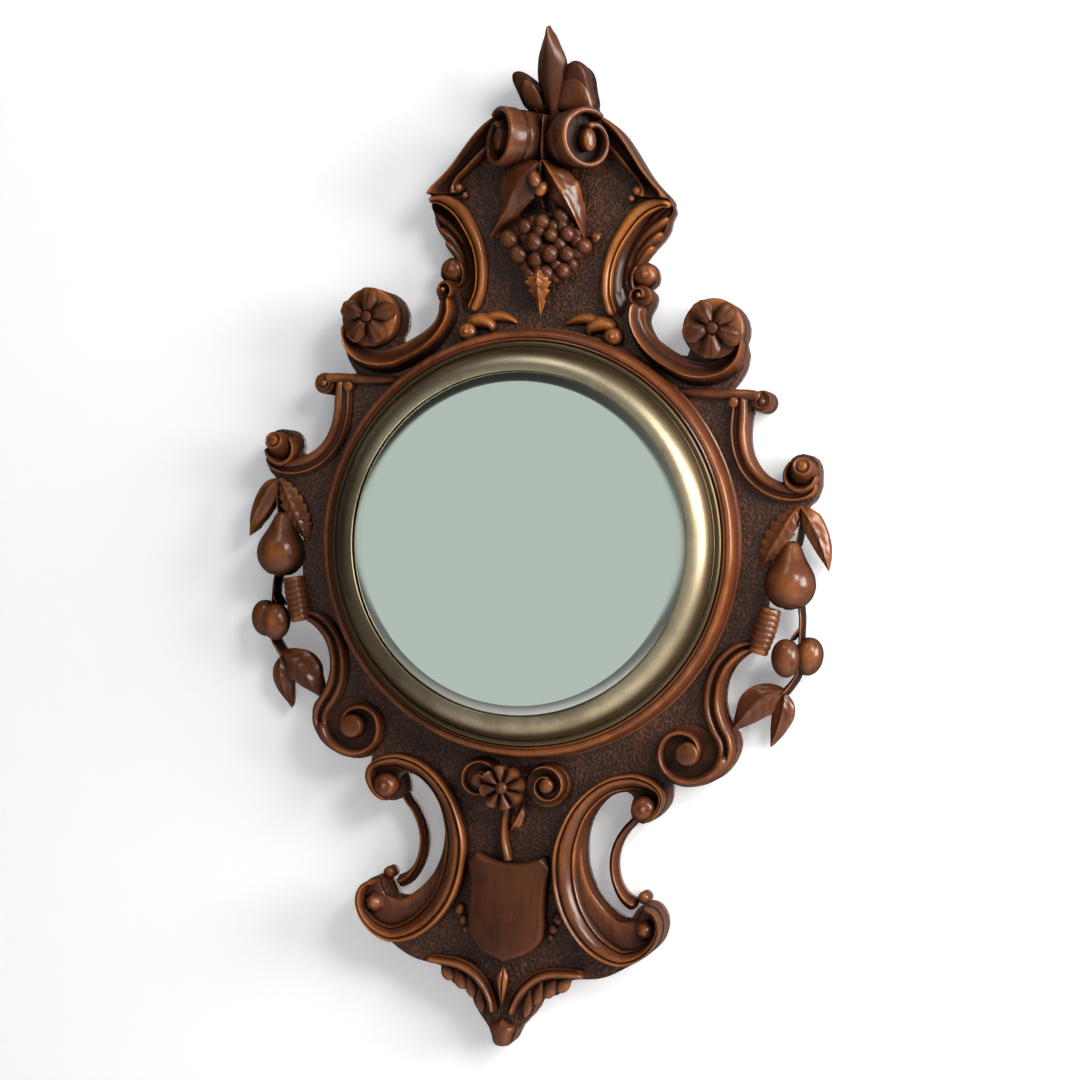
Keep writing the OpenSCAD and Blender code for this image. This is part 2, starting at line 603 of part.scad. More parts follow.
lower_rib = [[199, -73.5, 9], [189, -76.3, 13], [180, -82.3, 15], [172.3, -91.5, 16], [167.5, -103, 16.5],
  [165.5, -116, 16.5],
  [166.5, -130, 17], [171.5, -143, 17], [178, -154, 16], [179.5, -166, 15], [173, -178.5, 12], [162, -187,
    9.5],
  [150, -190.6, 8.5], [139, -189, 8], [130, -183, 8], [125.4, -174.5, 7.8], [125, -164.5, 7.5], [129,
    -155.5, 7.2],
  [137.5, -150.5, 7], [147.5, -151, 6.6], [154.5, -156, 6], [157.5, -163.5, 5.4], [155, -171, 5]];
eye_c = [148.5, -167];
module lower_scroll() {
  n = len(lower_rib);
  c_part = [for (i = [0 : 9]) lower_rib[i]];
  curl_part = [for (i = [9 : n - 1]) lower_rib[i]];
  husk_axis_z = board_t + husk_lift;
  color("chocolate") difference() {
    union() {
      rib(lower_rib, board_t, board_t + side_rise * 0.5);
      rib(c_part, board_t, board_t + side_rise, 0.4, 4);
      rib(c_part, board_t, board_t + side_rise, 0.34, -4.4);
      rib(curl_part, board_t, board_t + side_rise * 1.3, 0.72);
      at(eye_c[0], eye_c[1], board_t) cylinder(r = grow(23), h = 2);
      at(eye_c[0], eye_c[1], board_t) cylinder(r1 = grow(11), r2 = grow(9), h = 16);
    }
    rod([grow(husk_top[0]), grow(husk_top[1]), husk_axis_z], [grow(husk_end[0]), grow(husk_end[1]),
      husk_axis_z],
      husk_r + skin);
  }
}

// apron
apron_out = smooth([[113, -229], [121, -225], [127.5, -218], [131.5, -209], [130, -200], [124, -193.5],
  [115, -189], [104, -187], [88, -190],
  [73, -198], [60, -210], [50, -224], [43, -240], [38.7, -257], [38.5, -275], [41.5, -293], [48, -311],
    [58, -326],
  [70, -338], [84, -346], [100, -349.5], [113, -346], [123, -339], [131, -329], [134.5, -318], [133.5,
    -308], [127.5, -300], [119, -298]]);
apron_in = smooth([[116, -305], [110, -312], [98, -314], [88, -308.5], [77, -298.5], [68.5, -286.5], [63,
  -272], [61, -256], [62, -241], [66.5, -227],
  [75, -215], [86, -206.5], [96, -204], [103, -208], [106, -219]]);
broad_rib = [[124, -205, 6], [116, -196.5, 8], [104, -194, 11], [90, -196.5, 13], [77, -203.5, 14], [66.5,
  -214, 15], [57.5, -228, 15.5],
  [51, -243, 16], [47.6, -258, 16.5], [47.4, -275, 16.5], [50.3, -291.5, 16.5], [56.8, -307.5, 16.5],
    [66.5, -321.5, 16.5],
  [79.5, -332, 16], [94, -338.5, 15], [108, -339.5, 12], [119, -335, 9], [126, -326, 7], [127.5, -315, 6],
    [122.5, -307, 5]];
fine_rib = [[76, -214, 4], [67.5, -227, 4.2], [62.4, -241, 4.4], [59.8, -256.5, 4.4], [60.8, -273, 4.4],
  [65, -288.5, 4.6],
  [73, -303, 4.8], [84.5, -316.5, 5], [98, -326.5, 4.8], [110, -330, 4.2]];
module base_scroll() {
  color("chocolate") {
    slab(board_t, board_t + base_rise * 0.35) shape(concat(apron_out, apron_in));
    rib(broad_rib, board_t, board_t + base_rise * 0.8);
    rib(broad_rib, board_t, board_t + base_rise, 0.6);
    rib(fine_rib, board_t, board_t + base_rise * 0.75);
    at(114.5, -215.5, board_t) cylinder(r1 = grow(11), r2 = grow(9), h = base_rise + 2);
    at(120, -317.5, board_t) cylinder(r1 = grow(9), r2 = grow(7), h = base_rise * 0.6);
  }
}
slender_rib = [[106, -222, 7], [101, -230, 6.5], [94, -238.5, 6.6], [88, -250, 6.8], [85.3, -263, 7],
  [86.5, -277, 7.2], [91.2, -289, 8],
  [98, -297.5, 10], [107, -302.5, 12]];
module slender_scroll() {
  color("peru") difference() {
    union() {
      rib(slender_rib, 0, slender_t * 0.8);
      rib(slender_rib, 0, slender_t, 0.55);
      at(114, -294, 0) cylinder(r = grow(5.4), h = slender_t);
    }
    board_edges();
  }
}
rosette_c = [-6, -207];
rosette_r = grow(20.1);
rosette_h = 32;
cup_w = grow(18);
cup_h = 18;
module rosette() {
  color("maroon") at(rosette_c[0], rosette_c[1], board_t) {
    cylinder(r1 = rosette_r * 0.55, r2 = rosette_r * 0.68, h = rosette_h * 0.625);
    difference() {
      slab(rosette_h * 0.6, rosette_h) polygon(petals(10, rosette_r * 0.84, rosette_r));
      translate([0, 0, rosette_h * 0.8]) cylinder(r = rosette_r * 0.55, h = tall);
    }
    translate([0, 0, rosette_h * 0.875]) sphere(r = rosette_r * 0.32, $fn = 48);
  }
}
module rosette_volutes() {
  color("chocolate") difference() {
    for (s = [-1, 1]) at(31.5 * s, -201.8, board_t) {
      difference() {
        cylinder(r = cup_w, h = cup_h);
        translate([0, 0, cup_h / 2]) difference() {
          cylinder(r = cup_w * 0.72, h = cup_h);
          cylinder(r = cup_w * 0.36, h = cup_h * 0.45);
        }
      }
      translate([0, 0, cup_h * 0.89]) sphere(r = cup_w * 0.355, $fn = 48);
    }
    at(rosette_c[0], rosette_c[1], 0) cylinder(r = rosette_r + 2 * skin, h = tall);
    translate([0, 0, -1]) cylinder(r = ring_r, h = tall);
  }
}
module shield_stem() {
  color("peru") {
    rib([[-4, -228.5, 7], [-5.5, -240, 6], [-4.5, -253, 6], [-1, -263, 7], [1, -270.5, 8]], board_t, 38);
    slab(board_t, 36) shape(smooth([[0, -229], [6, -230.5], [8.5, -235], [7, -241.5], [2.5, -238], [-1,
      -233], [0, -229]]));
  }
}
shield_right = concat([[0, -271.5]], smooth([[0, -271.5], [14, -270], [29.5, -264.5]]), smooth([[29.5,
  -264.5], [33, -267.5], [37, -273]]),
  smooth([[37, -273], [33.8, -290], [33, -308], [34, -325], [31, -338], [20, -349], [0, -357.5]]));
shield_outline = concat(apart(shield_right),
  other([for (i = [1 : len(apart(shield_right)) - 2]) apart(shield_right)[i]]));
module shield() {
  color("sienna") {
    slab(board_t, board_t + shield_rise * 0.7) shape(shield_outline);
    slab(board_t, board_t + shield_rise * 0.9) shape(around(shield_outline, [0, -306], 0.9));
    slab(board_t, board_t + shield_rise) shape(around(shield_outline, [0, -304], 0.72));
  }
}
module bead_sprigs() {
  color("maroon") above(board_t) for (s = [-1, 1]) {
    at(43.8 * s, -316.5, board_t + 2) sphere(r = grow(5), $fn = 40);
    at(39.4 * s, -325.6, board_t + 1.5) sphere(r = grow(4.4), $fn = 40);
  }
}
arch_rib = [[70, -361.5, 7], [54, -361.8, 8.6], [39, -363.8, 9.5], [27, -369.5, 9.5], [17, -379.5, 9],
  [10.5, -391, 8], [7.5, -402, 6]];
module arch() {
  rib(arch_rib, board_t, board_t + 8);
  rib([for (i = [1 : 5]) arch_rib[i]], board_t + 5, board_t + 12, 0.55);
  slab(board_t, board_t + 4) shape(smooth([[56, -362], [51, -375], [43, -382], [33, -385.5], [27, -391],
    [22, -401], [16, -404],
    [11.5, -396], [13.5, -386], [22, -374], [38, -364], [56, -362]]));
}
module base_arches() {
  color("chocolate") {
    arch();
    left() arch();
  }
}
module base_drop() {
  color("sienna") {
    slab(board_t, board_t + 12) shape([[0, -361], [4.5, -371], [2.8, -384], [0, -394], [-2.8, -384],
      [-4.5, -371]]);
    slab(board_t, board_t + 10) shape(smooth([[0, -407], [6, -409.5], [11, -413], [8.5, -421], [6, -428],
      [0, -429.5], [-6, -428], [-8.5, -421],
      [-11, -413], [-6, -409.5], [0, -407]]));
  }
}

module place() { rotate([90, 0, 0]) translate([0, -hang_z, 0]) children(); }

place() crest_board();
place() centre_board();
place() apron_board();
place() ring_moulding();
place() brass_bezel();
place() mirror_plate();
place() backing_disc();
place() glass_rest();
place() back_panel();
place() turn_button(0);  // turn_button_1
place() turn_button(1);  // turn_button_2
place() turn_button(2);  // turn_button_3
place() turn_button(3);  // turn_button_4
place() button_screws();
place() hanging_plate();
place() hanging_screws();
place() crest_finial();
place() crest_volute();  // crest_volute_right
place() left() crest_volute();  // crest_volute_left
place() crest_stem();
place() crest_band();  // crest_band_right
place() left() crest_band();  // crest_band_left
place() crest_scroll();  // crest_scroll_right
place() left() crest_scroll();  // crest_scroll_left
place() crest_panel();  // crest_panel_right
place() left() crest_panel();  // crest_panel_left
place() flower_scroll();  // flower_scroll_right
place() left() flower_scroll();  // flower_scroll_left
place() flower();  // flower_right
place() left() flower();  // flower_left
place() vine_leaves();
place() grape_cluster();
place() leaf_spray();  // leaf_spray_right
place() left() leaf_spray();  // leaf_spray_left
place() side_scroll();  // side_scroll_right
place() left() side_scroll();  // side_scroll_left
place() swag_leaves();  // swag_leaves_right
place() left() swag_leaves();  // swag_leaves_left
place() pear();  // pear_right
place() left() pear();  // pear_left
place() husk();  // husk_right
place() left() husk();  // husk_left
place() berries_pair();  // berries_right
place() left() berries_pair();  // berries_left
place() drop_leaves();  // drop_leaves_right
place() left() drop_leaves();  // drop_leaves_left
place() lower_scroll();  // lower_scroll_right
place() left() lower_scroll();  // lower_scroll_left
place() base_scroll();  // base_scroll_right
place() left() base_scroll();  // base_scroll_left
place() slender_scroll();  // slender_scroll_right
place() left() slender_scroll();  // slender_scroll_left
place() rosette();
place() rosette_volutes();
place() shield_stem();
place() shield();
place() bead_sprigs();
place() base_arches();
place() base_drop();
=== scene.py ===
import json
import math

import bmesh
import bpy
import numpy as np
from mathutils import Matrix, Vector
from mathutils.bvhtree import BVHTree

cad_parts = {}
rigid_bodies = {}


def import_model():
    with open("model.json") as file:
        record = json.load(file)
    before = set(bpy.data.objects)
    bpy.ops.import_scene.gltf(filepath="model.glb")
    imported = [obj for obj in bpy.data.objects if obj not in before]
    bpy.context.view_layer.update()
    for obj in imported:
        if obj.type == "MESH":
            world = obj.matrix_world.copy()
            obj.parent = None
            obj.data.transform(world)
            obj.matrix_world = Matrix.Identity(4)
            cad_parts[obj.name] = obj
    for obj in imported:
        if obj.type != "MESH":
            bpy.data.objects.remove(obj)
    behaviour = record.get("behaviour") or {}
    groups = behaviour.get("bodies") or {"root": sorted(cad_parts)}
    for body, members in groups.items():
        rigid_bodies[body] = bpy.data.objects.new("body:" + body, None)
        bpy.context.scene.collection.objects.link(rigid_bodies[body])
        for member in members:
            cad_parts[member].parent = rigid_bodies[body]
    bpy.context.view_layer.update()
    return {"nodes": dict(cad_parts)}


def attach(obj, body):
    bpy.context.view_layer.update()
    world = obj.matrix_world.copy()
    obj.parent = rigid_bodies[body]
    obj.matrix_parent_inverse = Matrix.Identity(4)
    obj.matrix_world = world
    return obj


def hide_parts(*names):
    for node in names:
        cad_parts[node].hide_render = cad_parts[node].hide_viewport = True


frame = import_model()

bl_info = {
    "name": "Carved wall mirror",
    "version": (1, 0, 0),
    "blender": (4, 5, 0),
    "location": "View3D > Sidebar > Mirror",
    "description": "Carved walnut dressing and stage for the wall mirror's frame",
    "category": "Object",
}

ROOT = "frame"
HOOK = 262.0  # height of the hanging hole above the glass centre, mm
BOARD = 25.0  # thickness of the boards, mm
CLEAR = 1.0  # least gap between the back of a leaf and the wall, mm
VOLUTE_AT = (39.6, 341.5, 57)  # middle of the right crest volute
FLOWER_AT = (151, 187, 42)  # middle of the right flower
CURL_AT = (193.3, 129.2, 0)  # middle of the curl that ends the right shoulder
LOWER_AT = (148.5, -167)  # middle of the right lower scroll
ROSETTE_AT = (-6, -207, 25)
FINIAL_FOOT = 365  # height above which the finial's lobes lean out


# Shapes. Every length up to the stage is in millimetres, and every point is x, height above the
# glass centre and depth out of the wall. The carving's cross-sections swell, turn and die out
# along their length, which no curve bevel gives, so their rows of points are laid directly.
def smooth(points, n=8):
    """A soft curve through rows of numbers."""
    p = np.asarray(points, float)
    a = np.vstack([p[:1], p[:-1]])
    d = np.vstack([p[2:], p[-1:]])
    t = (np.arange(n) / n)[:, None, None]
    b, c, a, d = p[:-1], p[1:], a[:-1], d
    q = 0.5 * (2 * b + (c - a) * t + (2 * a - 5 * b + 4 * c - d) * t**2 + (3 * b - a - 3 * c + d) * t**3)
    return np.vstack([q.transpose(1, 0, 2).reshape(-1, p.shape[1]), p[-1:]])


def travelled(line):
    """Length of a flat line up to each of its points."""
    return np.concatenate([[0], np.cumsum(np.linalg.norm(np.diff(line[:, :2], axis=0), axis=1))])


def resample(points, count):
    """The same line with evenly spaced points."""
    p = np.asarray(points, float)
    s = travelled(p)
    t = np.linspace(0, s[-1], count)
    return np.stack([np.interp(t, s, p[:, i]) for i in range(p.shape[1])], 1)


def sideways(line):
    """Unit vectors square to a flat line, to its left."""
    t = np.gradient(line[:, :2], axis=0)
    t /= np.maximum(np.linalg.norm(t, axis=1, keepdims=True), 1e-9)
    return np.stack([-t[:, 1], t[:, 0]], 1)


def loft(rows):
    """Faces between rows of points. Each row closes into a loop, and both ends are capped."""
    rows = np.asarray(rows, float)
    m, k = rows.shape[:2]
    i = np.arange(m * k).reshape(m, k)
    i = np.hstack([i, i[:, :1]])
    quads = np.stack([i[:-1, :-1], i[:-1, 1:], i[1:, 1:], i[1:, :-1]], -1).reshape(-1, 4)
    return rows.reshape(-1, 3), quads.tolist() + [i[0, :k][::-1].tolist(), i[-1, :k].tolist()]


def section(*bumps, count=33, wall=0.0):
    """A cross-section from left to right. Each bump is centre, half width and height, in shares
    of the width and the rise; wall is the height of both sides."""
    u = np.linspace(-0.5, 0.5, count)
    v = np.full(count, wall)
    for c, w, h in bumps:
        v = np.maximum(v, h * np.sqrt(np.clip(1 - ((u - c) / w) ** 2, 0, 1)))
    return np.vstack([[-0.5, 0], np.stack([u, v], 1), [0.5, 0]])


ROUND = section((0, 0.5, 1.0))
SOFT = section((0, 0.62, 1.0), wall=0.35)
TWIN = section((-0.33, 0.16, 0.86), (0.2, 0.33, 1.0), (0, 0.5, 0.6), wall=0.42)
PAIRED = section((-0.25, 0.25, 0.94), (0.25, 0.25, 1.0), (0, 0.5, 0.55), wall=0.42)


def sweep(path, profile=ROUND, low=BOARD, rise=8.0, n=8, ends=(3.0, 3.0)):
    """A carved rib along a path of x, height, width and, if it changes, rise. It dies out over
    the lengths in ends."""
    q = smooth(path, n)
    step = travelled(q)
    side = sideways(q)
    width = q[:, 2].copy()
    tall = q[:, 3] if q.shape[1] > 3 else np.full(len(q), rise)
    for gone, length in ((step, ends[0]), (step[-1] - step, ends[1])):
        k = np.sqrt(np.clip(1 - (1 - np.clip(gone / length, 0, 1)) ** 2, 0.0009, 1))
        width = width * k
        tall = tall * (0.35 + 0.65 * k)
    u, v = profile[:, 0], profile[:, 1]
    off = u[None] * width[:, None]
    rows = np.empty((len(q), len(u), 3))
    rows[..., 0] = q[:, None, 0] + side[:, None, 0] * off
    rows[..., 1] = q[:, None, 1] + side[:, None, 1] * off
    rows[..., 2] = low + tall[:, None] * v[None]
    return loft(rows)


def between(a, b, profile, low=BOARD, count=60):
    """A surface from line a to line b. The profile holds share across and depth above low."""
    a, b = resample(a, count), resample(b, count)
    t, v = np.asarray(profile, float).T
    t = np.concatenate([[t[0]], t, [t[-1]]])
    v = np.concatenate([[0], v, [0]])
    rows = np.empty((count, len(t), 3))
    rows[..., :2] = a[:, None, :2] + (b - a)[:, None, :2] * t[None, :, None]
    rows[..., 2] = low + v[None]
    return loft(rows)


def pillow(outline, centre, levels, low=BOARD):
    """A raised field inside an outline. Levels are share from the centre and depth above low,
    from the edge inwards."""
    o = np.asarray(outline, float)
    c = np.asarray(centre, float)
    rows = [np.column_stack([o, np.full(len(o), low)])]
    for share, z in levels:
        rows.append(np.column_stack([c + (o - c) * share, np.full(len(o), low + z)]))
    return loft(rows)


def lathe(levels, count=48):
    """A turned form about its own axis, from rows of radius and height."""
    a = np.linspace(0, 2 * math.pi, count, endpoint=False)
    return loft([np.stack([r * np.cos(a), r * np.sin(a), np.full(count, z)], 1) for r, z in levels])


def put(shape, at=(0, 0, 0), turn=None):
    """Sets a shape made at the origin in its place. turn is a list of axis and degrees."""
    points, faces = shape
    m = Matrix.Translation(Vector(at))
    for axis, angle in turn or []:
        m = m @ Matrix.Rotation(math.radians(angle), 4, axis)
    m = np.array(m)
    return points @ m[:3, :3].T + m[:3, 3], faces


def leaf(spine, width, thick=3.0, fold=1.5, veins=0, vein=0.5, notch=0.0, teeth=0, cup=0.0, n=10, across=15):
    """A leaf along a spine of x, height and depth. width holds left and right half widths at
    even steps. The midrib is pressed in by fold and the rim drops by cup. A leaf of 15 mm or
    more is filled up to its rim, so that it stands on the wall."""
    q = smooth(spine, n)
    m = len(q)
    s = np.linspace(0, 1, m)
    w = np.asarray(width, float)
    ws = smooth(np.column_stack([np.linspace(0, 1, len(w)), w]), 12)
    left = np.interp(s, ws[:, 0], ws[:, 1])
    right = np.interp(s, ws[:, 0], ws[:, 2])
    if teeth:
        saw = 1 - notch * ((s * teeth) % 1.0)
        left, right = left * saw, right * saw
    along = np.gradient(q, axis=0)
    along /= np.maximum(np.linalg.norm(along, axis=1, keepdims=True), 1e-9)
    across_way = np.column_stack([sideways(q), np.zeros(m)])
    out = np.cross(along, across_way)
    t = np.linspace(-1, 1, across)
    half = np.where(t[None] < 0, right[:, None], left[:, None])
    off = half * t[None]
    up = -cup * t[None] ** 2 + fold * (1 - np.exp(-((t[None] * 5) ** 2)))
    up = up * np.clip(half / max(half.max() * 0.35, 0.1), 0.05, 1)
    if veins:
        slant = s[:, None] * veins - np.abs(t[None]) * 1.1
        up = up - vein * np.abs(np.cos(slant * math.pi)) ** 8 * np.clip(1.2 - np.abs(t[None]), 0, 1)
    body = thick * np.clip(1.02 - t[None] ** 2, 0.05, 1) ** (0.5 if thick < 15 else 0.2) * np.ones((m, 1))
    flat = q[:, None] + across_way[:, None] * off[..., None]
    top = flat + out[:, None] * up[..., None]
    under = (flat + out[:, None] * (up - body)[..., None])[:, ::-1]
    under[..., 2] = np.maximum(under[..., 2], CLEAR)
    return loft(np.concatenate([top, under], 1))


def bead(x, y, z, r, stretch=1.0, turn=None):
    """A ball, longer by stretch along its own axis."""
    a = np.linspace(-math.pi / 2 + 0.02, math.pi / 2 - 0.02, 14)
    return put(lathe([(r * math.cos(t), r * stretch * math.sin(t)) for t in a], 28), (x, y, z), turn)


def dome(x, y, r, low, high, lip=0.75):
    """A round button with soft shoulders; lip is the share of its radius inside them."""
    rise = high - low
    a = np.linspace(0, math.pi / 2 - 0.05, 9)
    levels = [(r, 0)] + [(r * (lip + (1 - lip) * math.cos(t)), rise * (0.45 + 0.45 * math.sin(t))) for t in a]
    levels += [(r * lip * k, rise * (1 - 0.1 * k * k)) for k in (0.75, 0.5, 0.25, 0.02)]
    return put(lathe(levels, 36), (x, y, low))


def mirrored(shape):
    """The same shape on the other side of the middle."""
    points, faces = shape
    return points * [-1, 1, 1], [f[::-1] for f in faces]


def read(items, what):
    """Three numbers for each of a mesh's vertices or faces."""
    values = np.empty(len(items) * 3)
    items.foreach_get(what, values)
    return values.reshape(-1, 3)


def crown_of(mesh):
    """How far each point bulges out of the points round it, from 0 in a hollow to 1 on a crest."""
    count = len(mesh.vertices)
    co, no = read(mesh.vertices, "co") * 1000, read(mesh.vertices, "normal")
    ends = np.empty(len(mesh.edges) * 2, int)
    mesh.edges.foreach_get("vertices", ends)
    a, b = ends.reshape(-1, 2).T
    d = co[b] - co[a]
    weight = np.maximum(np.linalg.norm(d, axis=1), 0.15)
    bend = np.einsum("ij,ij->i", no[a] - no[b], -d) / weight**2
    around = np.bincount(a, weight, count) + np.bincount(b, weight, count) + 1e-9
    value = (np.bincount(a, weight * bend, count) + np.bincount(b, weight * bend, count)) / around
    value = np.clip(value, -0.8, 0.8)
    for _ in range(4):
        near = np.bincount(a, weight * value[b], count) + np.bincount(b, weight * value[a], count)
        value = 0.4 * value + 0.6 * near / around
    return np.clip(0.5 + 1.6 * value, 0, 1)


def dress(mesh, finish):
    """Gives a mesh its crest attribute and its finish."""
    crest = mesh.attributes.new("crest", "FLOAT", "POINT")
    crest.data.foreach_set("value", crown_of(mesh).astype(np.float32))
    mesh.materials.append(finish)


def piece(name, shapes, finish, nodes, sharp=50):
    """Joins shapes into one named piece of the frame, in its place. Edges over sharp degrees stay
    sharp; points closer than 0.02 mm become one."""
    points, faces, start = [], [], 0
    for p, f in shapes:
        points.append(p)
        faces += [[i + start for i in face] for face in f]
        start += len(p)
    p = np.vstack(points)
    mesh = bpy.data.meshes.new(name)
    place = np.stack([p[:, 0], -p[:, 2], p[:, 1] - HOOK], 1) / 1000
    mesh.from_pydata(place.tolist(), [], faces)
    bm = bmesh.new()
    bm.from_mesh(mesh)
    bmesh.ops.remove_doubles(bm, verts=bm.verts, dist=0.02 / 1000)
    bmesh.ops.recalc_face_normals(bm, faces=bm.faces)
    bm.to_mesh(mesh)
    bm.free()
    obj = bpy.data.objects.new(name, mesh)
    bpy.context.scene.collection.objects.link(obj)
    bpy.ops.object.select_all(action="DESELECT")
    obj.select_set(True)
    bpy.context.view_layer.objects.active = obj
    bpy.ops.object.shade_smooth_by_angle(angle=math.radians(sharp))
    dress(mesh, finish)
    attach(obj, ROOT)
    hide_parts(*nodes)


def pair(name, shapes, finish, node):
    """A right-hand piece and its mirror image; node is the stem of the nodes they replace."""
    piece(name + "_carved_right", shapes, finish, [node + "_right"])
    piece(name + "_carved_left", [mirrored(s) for s in shapes], finish, [node + "_left"])


# Finishes
def dim(colour, share):
    return tuple(c * share for c in colour)


class Sum:
    """A value in a finish. Arithmetic with it adds the nodes that work the result out."""

    def __init__(self, finish, socket):
        self.finish, self.socket = finish, socket

    def _with(self, how, a, b):
        return Sum(self.finish, self.finish.add("Math", {"operation": how}, {0: a, 1: b}).outputs[0])

    def __add__(self, other):
        return self._with("ADD", self, other)

    def __radd__(self, other):
        return self._with("ADD", other, self)

    def __sub__(self, other):
        return self._with("SUBTRACT", self, other)

    def __rsub__(self, other):
        return self._with("SUBTRACT", other, self)

    def __mul__(self, other):
        return self._with("MULTIPLY", self, other)

    def __rmul__(self, other):
        return self._with("MULTIPLY", other, self)

    def power(self, other):
        return self._with("POWER", self, other)

    def limit(self):
        """Kept between 0 and 1."""
        return self._with("MINIMUM", self._with("MAXIMUM", self, 0.0), 1.0)

    def step(self, low, high):
        """0 below low, 1 above high and soft between."""
        node = self.finish.add("MapRange", {"interpolation_type": "SMOOTHSTEP"},
            {0: self.socket, 1: low, 2: high, 3: 0.0, 4: 1.0})
        return Sum(self.finish, node.outputs[0])


class Finish:
    """A material, or the world if it is given as owner, built node by node."""

    def __init__(self, name, owner=None):
        self.material = owner or bpy.data.materials.new(name)
        self.material.use_nodes = True
        self.tree = self.material.node_tree
        if owner:
            return
        self.tree.nodes.clear()
        self.out = self.add("OutputMaterial")
        self.shader = self.add("BsdfPrincipled")
        self.tree.links.new(self.shader.outputs[0], self.out.inputs[0])

    def feed(self, socket, value):
        """Links a socket to a value that nodes work out, or sets it to a plain one."""
        if isinstance(value, Sum):
            value = value.socket
        if isinstance(value, bpy.types.NodeSocket):
            self.tree.links.new(value, socket)
        else:
            socket.default_value = (*value, 1) if socket.type == "RGBA" else value

    def add(self, kind, settings=None, inputs=None):
        node = self.tree.nodes.new("ShaderNode" + kind)
        for key, value in (settings or {}).items():
            setattr(node, key, value)
        for key, value in (inputs or {}).items():
            self.feed(node.inputs[key], value)
        return node

    def place(self, scale=(1, 1, 1)):
        """Coordinates of the piece, stretched by scale."""
        where = self.add("TexCoord").outputs["Object"]
        return self.add("Mapping", {}, {"Vector": where, "Scale": scale}).outputs[0]

    def noise(self, where, scale, detail=4.0, rough=0.55, twist=0.0):
        node = self.add("TexNoise", {}, {"Vector": where, "Scale": scale, "Detail": detail,
            "Roughness": rough, "Distortion": twist})
        return Sum(self, node.outputs[0])

    def cells(self, where, scale):
        node = self.add("TexVoronoi", {"feature": "F1"}, {"Vector": where, "Scale": scale, "Randomness": 1.0})
        return Sum(self, node.outputs["Distance"])

    def dial(self, where):
        """Distances across and up from the middle of the glass."""
        centred = self.add("Mapping", {}, {"Vector": where, "Location": (0, 0, HOOK / 1000)})
        parts = self.add("SeparateXYZ", {}, {0: centred.outputs[0]})
        return Sum(self, parts.outputs[0]), Sum(self, parts.outputs[2])

    def radius(self, where):
        x, z = self.dial(where)
        return (x * x + z * z).power(0.5)

    def attribute(self, name):
        return Sum(self, self.add("Attribute", {"attribute_name": name}).outputs["Fac"])

    def facing(self):
        """How far the surface faces out of the wall, from -1 to 1."""
        normal = self.add("TexCoord").outputs["Normal"]
        return Sum(self, self.add("SeparateXYZ", {}, {0: normal}).outputs[1]) * -1.0

    def mix(self, share, a, b):
        """Colour a, with a share of colour b over it."""
        node = self.add("Mix", {"data_type": "RGBA", "clamp_factor": True}, {0: share, 6: a, 7: b})
        return node.outputs[2]

    def bump(self, height, distance, strength):
        inputs = {"Height": height, "Distance": distance, "Strength": strength}
        return self.add("Bump", {}, inputs).outputs[0]

    def set(self, **sockets):
        names = {"color": "Base Color", "rough": "Roughness", "metal": "Metallic", "normal": "Normal",
            "coat": "Coat Weight"}
        for key, value in sockets.items():
            self.feed(self.shader.inputs[names.get(key, key)], value)
        return self.material


def walnut(name, crown, body, hollow, stain_and_shade=0.0, gloss=0.28):
    """Polished walnut: rubbed bright on the crests, dark wax in the hollows. The crest attribute also holds
    painted light, so the bright crests are partly painted highlight and the dark hollows partly painted
    shade.
    """
    f = Finish(name)
    figure = f.noise(f.place((1, 1, 0.14)), 60, 5, 0.62, 0.9)
    pores = f.noise(f.place((1, 1, 0.07)), 430, 3, 0.7)
    cloud = f.noise(f.place(), 14, 4, 0.6)
    patch = f.noise(f.place((1, 1, 0.6)), 42, 3, 0.6)
    crest = f.attribute("crest")
    level = crest + (figure - 0.5) * 0.35 + (cloud - 0.5) * 0.9 + (patch - 0.5) * 0.4 - stain_and_shade * 0.2
    # where the crest attribute is high the crown colour comes in: polish wear mixed with painted highlight on
    # raised and front-facing surfaces
    wear_and_painted_light = level.step(0.50, 1.12)
    # where it is low the hollow colour comes in: dark wax mixed with painted shade in recesses, low places
    # and sides turned from the front
    dirt_and_painted_shade = 1.0 - (crest + (cloud - 0.5) * 0.22 + (pores - 0.5) * 0.1).step(0.10, 0.46)
    # crown colour over the body: polish wear with painted highlight
    colour = f.mix(wear_and_painted_light, body, crown)
    colour = f.mix((figure - 0.5).limit() * 2.2, colour, dim(body, 0.5))
    colour = f.mix(cloud.step(0.52, 0.72) * (0.4 + stain_and_shade * 0.5), colour, dim(body, 0.4))
    colour = f.mix(pores.step(0.56, 0.70) * 0.45, colour, hollow)
    # painted shade, together with dark wax, in the hollows
    colour = f.mix(dirt_and_painted_shade * 0.94, colour, hollow)
    height = f.noise(f.place(), 130, 2) * 0.5 + pores * 0.3 + f.noise(f.place(), 600, 2) * 0.2
    normal = f.bump(height, 0.0010, 0.65)
    rough = gloss + 0.2 + dirt_and_painted_shade * 0.2
    coat = (0.62 - dirt_and_painted_shade * 0.45 - pores.step(0.5, 0.7) * 0.25) * (1.0 - stain_and_shade * 0.45)
    return f.set(color=colour, rough=rough, normal=normal, coat=coat,
        **{"Coat Roughness": gloss * 0.75, "Specular IOR Level": 0.1})


